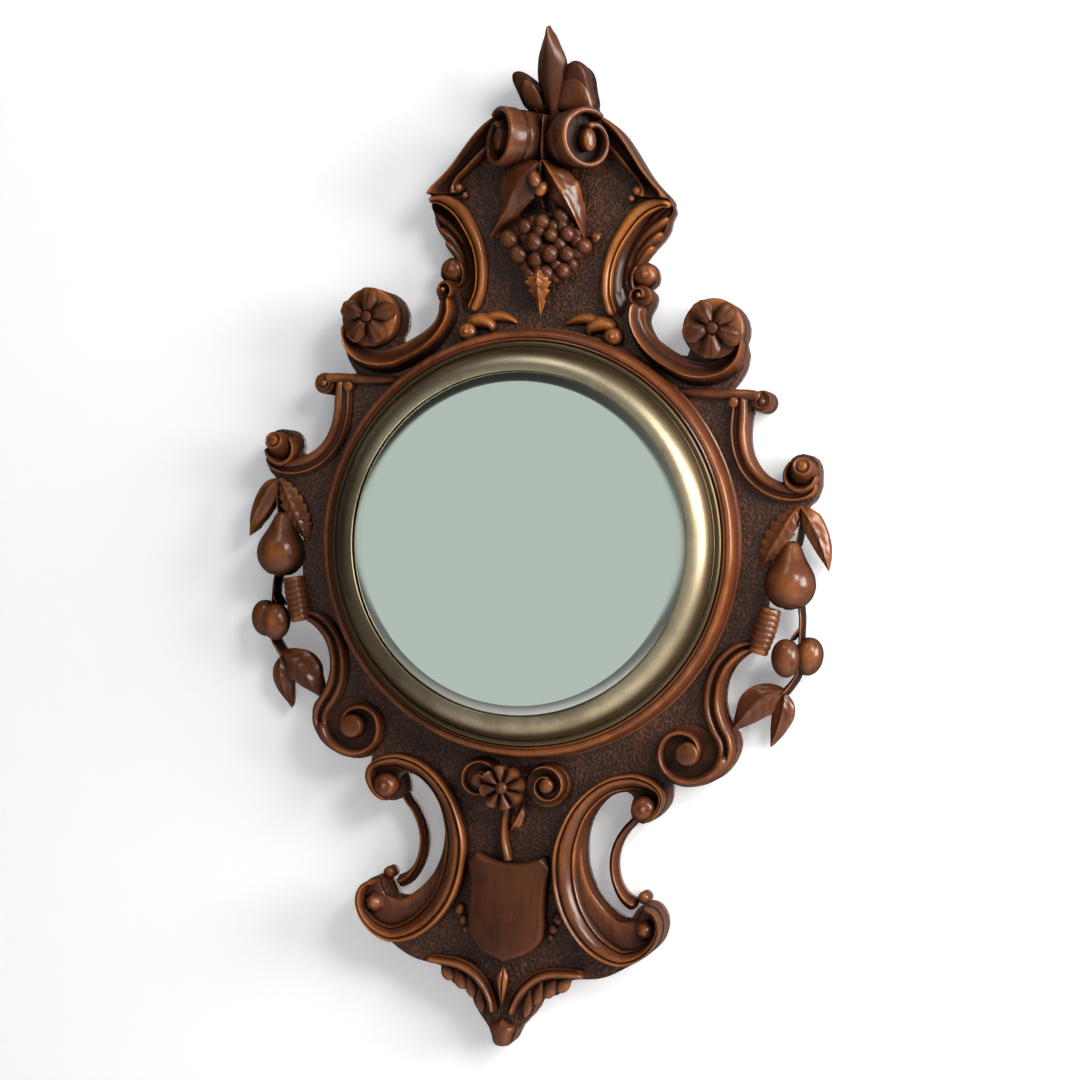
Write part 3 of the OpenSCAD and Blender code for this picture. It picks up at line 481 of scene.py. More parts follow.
def punched(name, ground, flank, hollow):
    """Dark boards whose front is punched all over between the carvings."""
    f = Finish(name)
    front = f.facing().step(0.6, 0.9)
    where = f.place()
    blur = f.add("TexNoise", {}, {"Vector": where, "Scale": 160.0, "Detail": 1.0}).outputs[1]
    bent = f.add("VectorMath", {"operation": "MULTIPLY_ADD"}, {0: blur, 1: (0.003, 0.003, 0.003),
        2: where}).outputs[0]
    pits = f.cells(bent, 430)
    small = f.cells(bent, 800)
    cloud = f.noise(where, 18, 4)
    figure = f.noise(f.place((1, 1, 0.1)), 60, 5, 0.6, 0.5)
    stipple = pits * 0.7 + small * 0.3
    rim = stipple.step(0.34, 0.62)
    colour = f.mix(cloud.step(0.3, 0.7), dim(ground, 0.7), ground)
    colour = f.mix(figure.step(0.5, 0.7) * 0.6, colour, dim(flank, 1.7))
    # the punched pits darkened towards the hollow colour
    colour = f.mix((1.0 - rim) * 0.62, colour, hollow)
    # painted highlight on the rims between the pits
    colour = f.mix(stipple.step(0.55, 0.8) * 0.5, colour, dim(ground, 1.9))
    side = f.mix((figure * 1.8 - 0.5).limit(), flank, dim(flank, 0.35))
    colour = f.mix(front, side, colour)
    height = stipple * front + figure * (1.0 - front) * 0.3
    normal = f.bump(height, 0.0024, 0.85)
    rough = 0.5 + 0.14 * cloud
    return f.set(color=colour, rough=rough, normal=normal, coat=0.55,
        **{"Coat Roughness": 0.27, "Specular IOR Level": 0.12})


def brass(name, colour, shade, turned=True):
    """Spun brass gone greenish, with faint lathe rings."""
    f = Finish(name)
    where = f.place()
    spot = f.noise(where, 22, 5, 0.6)
    fine = f.noise(where, 420, 3)
    x, z = f.dial(where)
    radius = f.radius(where)
    ring = f.add("TexNoise", {"noise_dimensions": "1D"}, {"W": radius, "Scale": 900.0, "Detail": 2.0})
    tone = f.mix(spot.step(0.42, 0.72) * 0.6, colour, shade)
    if turned:
        # the slope darkens towards its foot, and the groove outside it is darker still, painted shade where
        # its flat face would mirror the pale card; metres
        tone = f.mix(radius.step(0.153, 0.1625) * 0.85, tone, shade)
        tone = f.mix(radius.step(0.1640, 0.1655) * 0.6, tone, dim(shade, 0.4))
        # painted shade: the lower left of the bezel is darkened where it would mirror the dark side of the
        # room
        stained = (x * -0.9 - z * 0.42 - radius * 0.5) * 16.0
        tone = f.mix(stained.limit() * 0.75, tone, dim(shade, 0.45))
    tone = f.mix(fine.step(0.55, 0.75) * 0.3, tone, dim(shade, 0.5))
    normal = f.bump(Sum(f, ring.outputs[0]) * (1.0 if turned else 0.0) + fine * 0.3, 0.0002, 0.5)
    return f.set(color=tone, metal=1.0, rough=0.34 + spot * 0.16, normal=normal)


def softwood(name, light, dark):
    """Plain planed board, browned with age."""
    f = Finish(name)
    where = f.place((1, 1, 0.08))
    rings = f.add("TexWave", {"wave_type": "BANDS", "bands_direction": "X"},
        {"Vector": where, "Scale": 14.0, "Distortion": 6.0, "Detail": 3.0, "Detail Scale": 1.2})
    band = Sum(f, rings.outputs[1])
    fibre = f.noise(f.place((1, 1, 0.03)), 500, 3)
    cloud = f.noise(f.place(), 9, 4)
    tone = f.mix((band * 0.6 + fibre * 0.4).limit(), light, dark)
    tone = f.mix(cloud.step(0.45, 0.8) * 0.6, tone, dim(dark, 0.5))
    normal = f.bump(fibre * 0.7 + band * 0.3, 0.0005, 0.5)
    return f.set(color=tone, rough=0.62 + fibre * 0.12, normal=normal)


def silvering(name, tint):
    """Silvered glass with a trace of haze and, from 135.5 mm out, a duller bevel."""
    f = Finish(name)
    haze = f.noise(f.place(), 6, 3)
    bevel = f.radius(f.place()).step(0.1353, 0.1357)
    return f.set(color=f.mix(haze, tint, dim(tint, 0.97)), metal=1.0,
        rough=0.012 + haze.step(0.62, 0.8) * 0.01 + bevel * 0.12)


FINISHES = {}


def angle(name, description, degrees):
    return bpy.props.FloatProperty(
        name=name, description=description, default=math.radians(degrees), subtype="ANGLE"
    )


def colour(name, description, default):
    return bpy.props.FloatVectorProperty(
        name=name, description=description, size=3, subtype="COLOR", default=default
    )


class MirrorSizes(bpy.types.PropertyGroup):
    """Sizes of the carving that can be changed"""

    flower_tilt: angle("Flower tilt", "Turn of the flowers towards the side", 4)
    volute_turn: angle("Volute turn", "Turn of the crest volutes away from the front", 48)


class MirrorColours(bpy.types.PropertyGroup):
    """Colours of the finishes"""

    crown: colour("Walnut crests", "Worn, polished walnut", (0.40, 0.132, 0.030))
    body: colour("Walnut", "Walnut between crest and hollow", (0.098, 0.028, 0.0095))
    # the hollow colour is also the painted shade in the walnut's recesses; the punched ground's pits take it
    # too
    hollow: colour("Wax in hollows", "Dark wax and dirt", (0.011, 0.0045, 0.003))
    ground: colour("Punched ground", "Boards between the carvings", (0.086, 0.035, 0.021))
    brass: colour("Brass", "Spun brass bezel", (0.52, 0.45, 0.31))
    glass: colour("Silvered glass", "Tint of the mirror", (0.78, 0.84, 0.79))


# Parts of the ornament that come more than once
def unrolled(line, widths, profile, low, rise, ends=(3, 3)):
    """A band laid to the left of a line, with the width given at even steps along it."""
    q = resample(smooth(line), 40)
    w = np.interp(np.linspace(0, 1, 40), np.linspace(0, 1, len(widths)), widths)
    return sweep(np.column_stack([q, w]), profile, low, rise, n=5, ends=ends)


def volute(r, low, high, turns=1.35, start=90.0, hand=1, band=0.27, eye=0.36):
    """A scroll end: a wall, a ridge that winds in, a floor and a round eye."""
    rise = high - low
    t = np.linspace(0, 1, 40)
    a = np.radians(start + hand * 360 * turns * t)
    w = r * band * (1 - 0.25 * t)
    k = r - w / 2 - (r * (1 - eye * 0.9) - w / 2) * t**1.15
    path = np.stack([k * np.cos(a), k * np.sin(a), w], 1)
    ridge = sweep(path, ROUND, low, rise, n=3, ends=(r * 0.5, r * 0.2))
    floor = rise * 0.3
    disc = lathe([(r * 0.94, 0), (r * 0.96, floor * 0.8), (r * 0.9, floor), (r * 0.02, floor * 0.8)])
    button = dome(0, 0, r * eye, low, low + rise * 1.06)
    return [ridge, put(disc, (0, 0, low)), button]


def blossom(petals, r, low, high, cup=0.0, notch=0.12, gap=0.42, crease=0.16, turn=0.0, heart=0.24, slim=1.7):
    """An open flower: petals parted by deep gaps, creased down the middle, round a button."""
    a = np.linspace(0, 2 * math.pi, petals * 26, endpoint=False)
    p = (a - math.radians(turn)) * petals / 2
    middle = np.abs(np.cos(p))
    edge = r * (1 - gap * (1 - middle) ** slim) * (1 - notch * np.exp(-(((1 - middle) / 0.035) ** 2)))
    rows = []
    rise = high - low
    for s in (1.0, 0.985, 0.93, 0.84, 0.72, 0.58, 0.44, 0.3, 0.18, 0.04):
        swell = (0.62 + 0.38 * math.sin(math.pi * min(1.0, s * 0.95 + 0.1))) * rise
        z = swell + cup * rise * s**2
        z = z * (0.42 + 0.58 * middle**0.5) if s > 0.2 else z * 0.6
        z = z - crease * rise * np.exp(-(((1 - middle) / 0.03) ** 2)) * min(1, s * 1.6)
        if s == 1.0:
            z = z * 0.72
        rows.append(np.stack([edge * s * np.cos(a), edge * s * np.sin(a), low + z], 1))
    skirt = rows[0].copy()
    skirt[:, 2] = low
    return [loft([skirt] + rows), dome(0, 0, r * heart, low + rise * 0.3, low + rise * (1.0 + 0.25 * cup))]


def teardrop(a, b, wide, high):
    """A plump lobe on the board from point a to point b, fullest past the middle."""
    a, b = np.asarray(a, float), np.asarray(b, float)
    t = np.linspace(0, 1, 9)
    way = a + (b - a) * t[:, None]
    w = wide * (np.sin(math.pi * np.clip(t * 0.9 + 0.05, 0, 1)) ** 0.8) * (0.55 + 0.6 * t)
    tall = high * (0.5 + 0.5 * np.sin(math.pi * np.clip(t * 0.8 + 0.1, 0, 1)))
    return sweep(np.column_stack([way, w, tall]), SOFT, n=4, ends=(2, 2.5))


def lobe(line, centre, levels, low, slope):
    """A full lobe of the finial inside an outline, leaning out towards its top."""
    p, f = pillow(resample(smooth(line, 6), 64), centre, levels, low=low)
    p[:, 2] += np.where(p[:, 2] > low + 4, slope * (p[:, 1] - FINIAL_FOOT), 0)
    return p, f


# Lines of the right half, or of both halves of the finial: x, height and, for the ribs, width.
# GRAPES holds x, height, radius and depth.
CREST_RIB = [[106, 289.5, 4], [98, 291.5, 9], [88, 289, 12.5], [78, 281.5, 13], [69.5, 270, 12.2],
    [62, 256.5, 11.2], [57.3, 243, 10.4], [55.2, 229, 10], [55.6, 215, 9.8], [58.6, 204, 9.8],
    [62.5, 195.5, 9.6]]
BAND_OUT = [[46, 361.5], [52, 358], [59, 352], [67, 342.6], [76, 329.6], [85, 316.6], [94, 306.6], [101, 300],
    [105, 294.5]]
BAND_IN = [[49, 335], [54, 331], [62, 323.5], [70, 315.5], [77, 308.5], [79.5, 301], [77, 296.5]]
RIB_SIDE = [[106, 291], [97, 291], [88, 288], [79, 281.5], [71, 271], [64, 257], [59.8, 241], [59, 226],
    [60.8, 212], [64.5, 201], [68, 194]]
CURL_SIDE = [[68, 194], [72, 200], [74, 208], [77, 216], [83, 221.5], [90, 221]]
PANEL_OUT = [[106, 291], [107.3, 286], [104.5, 279], [103, 271], [98.5, 263], [92, 255.5], [86.5, 248.5],
    [82.5, 242]]
PANEL_LOBE = [[82.5, 242], [88, 242.8], [93, 239.5], [96, 232.5], [95, 225.5], [90, 221]]
BOWL = [[84, 207, 15], [83, 194, 16], [87, 182.5, 16], [94.5, 172.5, 18], [104.5, 164, 20], [116.5, 157, 20],
        [130, 151.5, 21], [144, 150, 20], [157, 153, 18], [167, 160.5, 17], [172, 170, 12], [174, 181, 7]]
LOBE_RIGHT = [[-3, 365], [1, 377], [5, 388], [10, 395], [17, 399.5], [24, 399.6], [29.5, 394.5], [33, 386],
    [36.5, 374], [38.5, 365]]
LOBE_LEFT = [[-5, 365], [-8, 376], [-12, 385], [-17, 391], [-22.5, 394], [-27, 392.5], [-28.4, 386],
    [-26, 377], [-23, 369], [-22, 365]]
HOOD_RIGHT = [[6, 378], [7, 392], [9.5, 400], [14, 406], [20, 408.6], [26.5, 406.6], [31, 399.5],
    [33.5, 388], [36, 374], [26, 368], [6, 378]]
HOOD_LEFT = [[-12, 380], [-15, 389], [-19, 395], [-24, 398.8], [-30.5, 400.4], [-35.4, 398], [-35.8, 392],
    [-32, 383], [-27, 372], [-20, 370], [-12, 380]]
SIDE = [[175, 132, 13], [174.8, 117, 15.5], [174.8, 103, 16], [177.3, 89, 16], [183, 76, 16], [191.5, 66, 16],
    [202, 59, 16], [214, 55, 16], [226, 54.3, 15], [236, 58, 13], [241, 66, 8]]
LOWER = [[199, -73.5, 9], [189, -76.3, 13], [180, -82.3, 15], [172.3, -91.5, 16], [167.5, -103, 16.5],
    [165.5, -116, 16.5], [166.5, -130, 17], [171.5, -143, 17], [178, -154, 16], [179.5, -166, 15],
    [173, -178.5, 12], [162, -187, 9.5], [150, -190.6, 8.5], [139, -189, 8], [130, -183, 8],
    [125.4, -174.5, 7.8], [125, -164.5, 7.5], [129, -155.5, 7.2], [137.5, -150.5, 7], [147.5, -151, 6.6],
    [154.5, -156, 6], [157.5, -163.5, 5.4], [155, -171, 5]]
APRON_OUT = [[113, -229], [121, -225], [127.5, -218], [131.5, -209], [130, -200], [124, -193.5], [115, -189],
    [104, -187], [88, -190], [73, -198], [60, -210], [50, -224], [43, -240], [38.7, -257], [38.5, -275],
    [41.5, -293], [48, -311], [58, -326], [70, -338], [84, -346], [100, -349.5], [113, -346], [123, -339],
    [131, -329], [134.5, -318], [133.5, -308], [127.5, -300], [119, -298]]
APRON_IN = [[106, -219], [103, -208], [96, -204], [86, -206.5], [75, -215], [66.5, -227], [62, -241],
    [61, -256], [63, -272], [68.5, -286.5], [77, -298.5], [88, -308.5], [98, -314], [110, -312], [116, -305]]
SLENDER = [[106, -222, 7], [101, -230, 6.5], [94, -238.5, 6.6], [88, -250, 6.8], [85.3, -263, 7],
    [86.5, -277, 7.2], [91.2, -289, 8], [98, -297.5, 10], [107, -302.5, 12]]
ARCH = [[70, -361.5, 7], [54, -361.8, 8.6], [39, -363.8, 9.5], [27, -369.5, 9.5], [17, -379.5, 9],
    [10.5, -391, 8], [7.5, -402, 6]]
GRAPES = [[16, 276, 6.6, 0], [1, 272, 6.6, 2], [-14, 266, 6.8, 1], [-29, 257, 7.2, -2], [8.5, 259.5, 6.4, 5],
    [-5.5, 255, 6.8, 5], [23, 262, 6.8, 2], [36, 253, 7.2, -2], [-19.5, 243, 7.4, 1], [-4, 240, 7, 4],
    [9.5, 244.5, 6.6, 5], [23.5, 245.5, 7, 2], [5.5, 228.5, 6.8, 0], [19, 231, 6.8, 0], [-9, 226.5, 6.2, 0]]
BOWL_PROFILE = np.array([[-0.5, 0], [-0.5, 0.1], [-0.44, 0.22], [-0.36, 0.5], [-0.29, 0.8], [-0.24, 0.95],
    [-0.2, 1.0], [-0.15, 0.98], [-0.08, 0.86], [0.02, 0.68], [0.14, 0.52], [0.28, 0.42], [0.4, 0.4],
    [0.47, 0.42], [0.5, 0.36], [0.5, 0]])


class MIRROR_OT_finishes(bpy.types.Operator):
    """Make the finishes and give them to the nodes that are shown as they are"""

    bl_idname = "mirror.finishes"
    bl_label = "Finishes"

    def execute(self, context):
        c = context.scene.mirror_colours
        crown, body, hollow = (tuple(v) for v in (c.crown, c.body, c.hollow))
        FINISHES["carved"] = walnut("carved walnut", crown, body, hollow)
        FINISHES["turned"] = walnut("turned walnut", dim(crown, 1.2), dim(body, 1.2), hollow, gloss=0.24)
        FINISHES["dark"] = walnut("dark walnut", dim(crown, 0.62), dim(body, 0.75), hollow, stain_and_shade=0.4,
            gloss=0.36)
        FINISHES["golden"] = walnut("golden walnut", (0.66, 0.25, 0.052), (0.23, 0.07, 0.016), hollow)
        # a darker, duller copy of the walnut: painted shade for the finial's hoods and the floors of the
        # crest volutes
        FINISHES["shade"] = walnut("shaded walnut", dim(crown, 0.3), dim(body, 0.55), hollow, stain_and_shade=1.3,
            gloss=0.4)
        FINISHES["waxed"] = walnut("stained walnut", crown, dim(body, 0.8), hollow, stain_and_shade=1.0, gloss=0.34)
        FINISHES["punched"] = punched("punched walnut", tuple(c.ground), body, hollow)
        FINISHES["brass"] = brass("spun brass", tuple(c.brass), (0.18, 0.13, 0.07))
        FINISHES["fittings"] = brass("aged brass", (0.50, 0.37, 0.16), (0.22, 0.15, 0.07), turned=False)
        FINISHES["softwood"] = softwood("softwood", (0.52, 0.35, 0.18), (0.30, 0.18, 0.09))
        FINISHES["button"] = softwood("oiled hardwood", (0.30, 0.15, 0.07), (0.14, 0.07, 0.035))
        FINISHES["backing"] = softwood("backing board", (0.33, 0.26, 0.18), (0.24, 0.18, 0.12))
        FINISHES["glass"] = silvering("silvered glass", tuple(c.glass))
        plain = {
            "punched": ("crest_board", "centre_board", "apron_board"),
            "carved": ("crest_panel_right", "crest_panel_left"),
            "softwood": ("glass_rest", "back_panel"),
            "backing": ("backing_disc",),
            "button": tuple(f"turn_button_{i}" for i in (1, 2, 3, 4)),
            "fittings": ("button_screws", "hanging_screws", "hanging_plate"),
        }
        for finish, nodes in plain.items():
            for name in nodes:
                mesh = frame["nodes"][name].data
                mesh.materials.clear()
                mesh.materials.append(FINISHES[finish])
        return {"FINISHED"}


def spun(name, profile, finish, node, steps=288):
    """A piece turned on the glass's axis, spun from its section as radius and depth, in mm."""
    bpy.ops.object.select_all(action="DESELECT")
    mesh = bpy.data.meshes.new(name)
    n = len(profile)
    mesh.from_pydata([(r / 1000, -d / 1000, -HOOK / 1000) for r, d in profile],
        [(i, i + 1) for i in range(n - 1)], [])
    obj = bpy.data.objects.new(name, mesh)
    bpy.context.scene.collection.objects.link(obj)
    obj.select_set(True)
    bpy.context.view_layer.objects.active = obj
    bpy.ops.object.mode_set(mode="EDIT")
    bpy.ops.mesh.select_all(action="SELECT")
    bpy.ops.mesh.spin(steps=steps, angle=2 * math.pi, center=(0, 0, -HOOK / 1000), axis=(0, 1, 0))
    bpy.ops.mesh.select_all(action="SELECT")
    bpy.ops.mesh.remove_doubles(threshold=0.00001)
    bpy.ops.mesh.normals_make_consistent(inside=False)
    bpy.ops.object.mode_set(mode="OBJECT")
    bpy.ops.object.shade_smooth_by_angle(angle=math.radians(28))
    dress(mesh, finish)
    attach(obj, ROOT)
    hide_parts(node)


def arc(cx, cy, rx, ry, a, b, n):
    """Points on an ellipse from angle a to angle b, in degrees."""
    turns = [math.radians(a + (b - a) * i / n) for i in range(n + 1)]
    return [(cx + rx * math.cos(t), cy + ry * math.sin(t)) for t in turns]


class MIRROR_OT_ring(bpy.types.Operator):
    """Spin the walnut ring"""

    bl_idname = "mirror.ring"
    bl_label = "Turned ring"

    def execute(self, context):
        profile = [(159.5, 25), (183.5, 25), (183.5, 30), (183.2, 31), (182.2, 31.6), (181.9, 32.4)]
        profile += arc(176.6, 33, 5.6, 17, 0, 90, 14)
        profile += [(174.6, 49.9), (173.9, 49.2), (173.4, 48.6), (172.9, 48.9), (172.3, 49.2), (171.6, 48.9),
            (170.8, 47.8), (170.5, 47), (159.5, 47), (159.5, 25)]
        spun("ring_turned", profile, FINISHES["turned"], "ring_moulding")
        return {"FINISHED"}


class MIRROR_OT_bezel(bpy.types.Operator):
    """Spin the brass bezel"""

    bl_idname = "mirror.bezel"
    bl_label = "Brass bezel"

    def execute(self, context):
        profile = [(163.6, 47), (170.5, 47), (170.5, 51.2)]
        profile += arc(168.2, 51.2, 2.3, 1.9, 0, 90, 6) + [(166.6, 53.0), (165.4, 52.2), (164.9, 52.6)]
        profile += arc(146.6, 53.0, 17.9, 19.0, 4, 88, 22) + [(146.0, 72.0), (145.0, 71.7), (144.5, 71.0),
            (144.5, 70.0)]
        profile += [(146.8, 69.95)] + arc(147.5, 53.5, 15.0, 16.4, 88, 4, 14) + [(163.6, 53), (163.6, 47)]
        spun("bezel_spun", profile, FINISHES["brass"], "brass_bezel")
        return {"FINISHED"}


class MIRROR_OT_glass(bpy.types.Operator):
    """Grind the bevelled glass"""

    bl_idname = "mirror.glass"
    bl_label = "Bevelled glass"

    def execute(self, context):
        profile = [(0.001, 64.7), (149.5, 64.7), (149.5, 67.6), (149.2, 67.8), (135.6, 69.7), (135.4, 69.7),
            (0.001, 69.7)]
        spun("glass_bevelled", profile, FINISHES["glass"], "mirror_plate", 320)
        return {"FINISHED"}


class MIRROR_OT_crest(bpy.types.Operator):
    """Carve the crest: finial, volutes, bands, ribs and panels"""

    bl_idname = "mirror.crest"
    bl_label = "Crest"

    def execute(self, context):
        carved = FINISHES["carved"]
        turn = math.degrees(context.scene.mirror_sizes.volute_turn)
        middle = leaf([[0, 363, 31], [0, 378, 38], [0, 395, 46], [0, 411, 54], [0, 424, 59],
                [0, 432.5, 61.5]],
            [[6, 6.5], [9.6, 10.6], [12.6, 13.8], [11.6, 13], [7.8, 8.6], [4, 4.3], [0.5, 0.5]],
            thick=12, fold=0, cup=9, n=10, across=25)
        groove = sweep([[4.6, 366, 3], [6, 384, 4], [6.2, 402, 4], [4.2, 416, 3.4], [2, 427, 2.2]],
            section((0, 0.5, 1.0), wall=0.6), 36, 4, ends=(3, 3))
        points = groove[0]
        climb = np.interp(points[:, 1], [366, 378, 395, 411, 424, 432], [-8.2, -3.4, 4.2, 11.2, 16.4, 19])
        points[:, 2] = points[:, 2] + climb - 4.6
        plump = [(1, 5), (0.99, 9), (0.95, 12), (0.88, 14.4), (0.76, 16.4), (0.6, 17.6), (0.4, 18), (0.2, 18),
            (0.03, 18)]
        slim = [(1, 5), (0.98, 10), (0.92, 13.5), (0.8, 15.6), (0.6, 16.4), (0.3, 16.6), (0.03, 16.6)]
        lobes = [
            lobe(LOBE_RIGHT, (19, 380), plump, 12, 0.42),
            lobe(LOBE_LEFT, (-18, 380), slim, 12, 0.42),
        ]
        # the hoods curl behind the lobes and take the shaded walnut: painted shade
        hoods = [lobe(HOOD_RIGHT, (21, 388), plump, 9, 0.5), lobe(HOOD_LEFT, (-26, 388), slim, 8, 0.5)]
        piece("finial_hoods_carved", hoods, FINISHES["shade"], ["crest_finial"])
        creases = [sweep([[1.5, 367, 2.4], [6, 376, 3.4], [11, 383, 3.6], [16, 387, 2.6]], ROUND, 27, 3.4,
            ends=(3, 5)), sweep([[-13.6, 366, 2.4], [-18, 375, 3], [-23, 383, 2.4]], ROUND, 26, 3.4,
            ends=(3, 5)),]
        for p, _ in creases:
            p[:, 2] += np.where(p[:, 2] > 27.1, 0.42 * (p[:, 1] - FINIAL_FOOT) - 1.2, -10)
        foot = pillow(smooth([[26, 366], [27, 372], [20, 380], [0, 383], [-16, 379], [-22, 372], [-22, 366],
            [26, 366]], 6), (0, 372), [(1, 12), (0.95, 17), (0.8, 21), (0.5, 24), (0.05, 25)], low=5)
        block = sweep([[-21, 365.3, 3.6], [0, 365.3, 4], [25, 365.3, 3.6]], SOFT, 3, 21.5)
        piece("finial_leaf_carved", [middle, groove], FINISHES["dark"], ["crest_finial"])
        piece("finial_carved", [foot, block] + lobes + creases, carved, ["crest_finial"])

        flat_top = section((0, 0.5, 0.4), wall=0.86)
        flat_top[1:-1, 1] = np.minimum(1, flat_top[1:-1, 1] + 0.14 * np.cos(np.pi * flat_top[1:-1, 0]) ** 0.5)
        coil = [[17.2, 17.2, 3.6], [7.4, 22.4, 4.4], [-3.8, 22.6, 4.8], [-14, 17.5, 5], [-20.2, 9.4, 5.2],
            [-22.3, -0.5, 5], [-20.2, -10, 4.8], [-13.9, -17.5, 4.4], [-4.8, -22, 4.3], [5.2, -22.4, 4.3],
            [14.2, -18.3, 4.3], [19.6, -11, 4.2], [20.8, -2.6, 4.1], [18.3, 5, 4], [13, 10.2, 4.2],
            [6.4, 11.2, 5], [1, 8.2, 5.6]]
        ridge = sweep(coil, flat_top, -14, 14, n=5, ends=(5, 2))
        eye = pillow(smooth([[3.4, 9], [-0.6, 6.4], [-2.8, -0.6], [-0.8, -7.8], [4, -11.2], [8.8, -8.8],
                [10.2, -1.6], [8.2, 5.2], [3.4, 9]], 6),
            (4, -1),
            [(1, 8), (0.97, 11), (0.88, 12.2), (0.7, 13), (0.4, 13.5), (0.03, 13.7)],
            low=-14)
        drum = lathe([(0.2, -14), (24.4, -14), (24.5, -16), (23.2, -17), (23.2, -18.4), (24.3, -19.4),
            (24.5, -21.4), (24.1, -30), (22.9, -31.2), (22.9, -32.6), (23.8, -33.6), (22.5, -59)], 72)
        set_in = [put(part, VOLUTE_AT, [("Y", turn)]) for part in (ridge, eye, drum)]
        pair("volute", set_in, carved, "crest_volute")
        # a dark sheet laid over the drum's top: painted shade in the volute's recess
        dish = lathe([(0.2, -13.5), (20.4, -13.5), (20.6, -14.6), (0.2, -14.6)], 72)
        pair("shaded_volute_floor", [put(dish, VOLUTE_AT, [("Y", turn)])], FINISHES["shade"], "crest_volute")
        piece("stem_carved", [sweep([[0, 319, 7, 26], [0, 330, 6.4, 33], [0, 345, 5.6, 34],
            [0, 361.5, 4.6, 33]], ROUND, 25, ends=(2, 2))], carved, ["crest_stem"])

        band = between(smooth(BAND_OUT), smooth(BAND_IN),
            [(0, 14), (0.015, 17.5), (0.05, 19.6), (0.1, 20), (0.15, 19.2), (0.19, 16.4), (0.22, 13.2),
                (0.27, 10.6), (0.36, 8.6), (0.5, 7.4), (0.62, 8), (0.7, 9.6), (0.74, 12.4), (0.78, 13),
                (0.84, 12.6), (0.9, 10.2), (0.94, 9.4), (1, 7)])
        notch = [dome(78.6, 300.5, 4.2, 25, 38, lip=0.6), dome(73.4, 294.8, 3.0, 25, 34, lip=0.6)]
        pair("band", [band] + notch, carved, "crest_band")
        flat = section((-0.1, 0.44, 1.0), (0.41, 0.1, 0.86), wall=0.45)
        pair("crest_rib", [sweep(CREST_RIB, flat, rise=8, ends=(2, 5))], FINISHES["golden"], "crest_scroll")

        inner = np.vstack([smooth(RIB_SIDE), smooth(CURL_SIDE)[1:]])
        outer = np.vstack([smooth(PANEL_OUT), smooth(PANEL_LOBE)[1:]])
        slab = between(inner, outer,
            [(0, 20), (0.07, 19.6), (0.16, 16), (0.26, 14.6), (0.36, 17.2), (0.4, 17.4), (0.44, 16.4),
                (0.54, 14), (0.64, 17.2), (0.68, 17.4), (0.72, 16.4), (0.8, 14.4), (0.9, 17.4), (0.95, 18),
                (0.98, 17.2), (1, 14)],
            low=0, count=90)
        husks = [sweep(line, ROUND, 12, ends=(2, 5)) for line in ([[103.5, 281, 5, 7], [98, 277, 9, 9.5],
            [90, 271, 9.5, 9], [82, 263, 8, 6.5], [76, 254, 5, 4]], [[99.5, 268, 5, 8],
            [94.5, 264.5, 8.5, 11], [87, 258, 9, 9], [80, 249, 7, 6], [76, 240, 4, 4]],
            [[92.5, 256.5, 5, 8], [88.5, 253, 8, 10.5], [82.5, 246, 8.5, 8], [77, 237, 6, 5],
            [74.5, 229, 4, 3]],)]
        roll = [
            dome(85.5, 232, 10.2, 8, 24.5, lip=0.35),
            sweep([[79, 240, 5, 10], [75, 231, 5.5, 9], [76, 221, 5, 8], [83, 217, 4, 7]], ROUND, 12),
        ]
        pair("crest_side", [slab] + husks + roll, carved, "crest_panel")
        return {"FINISHED"}


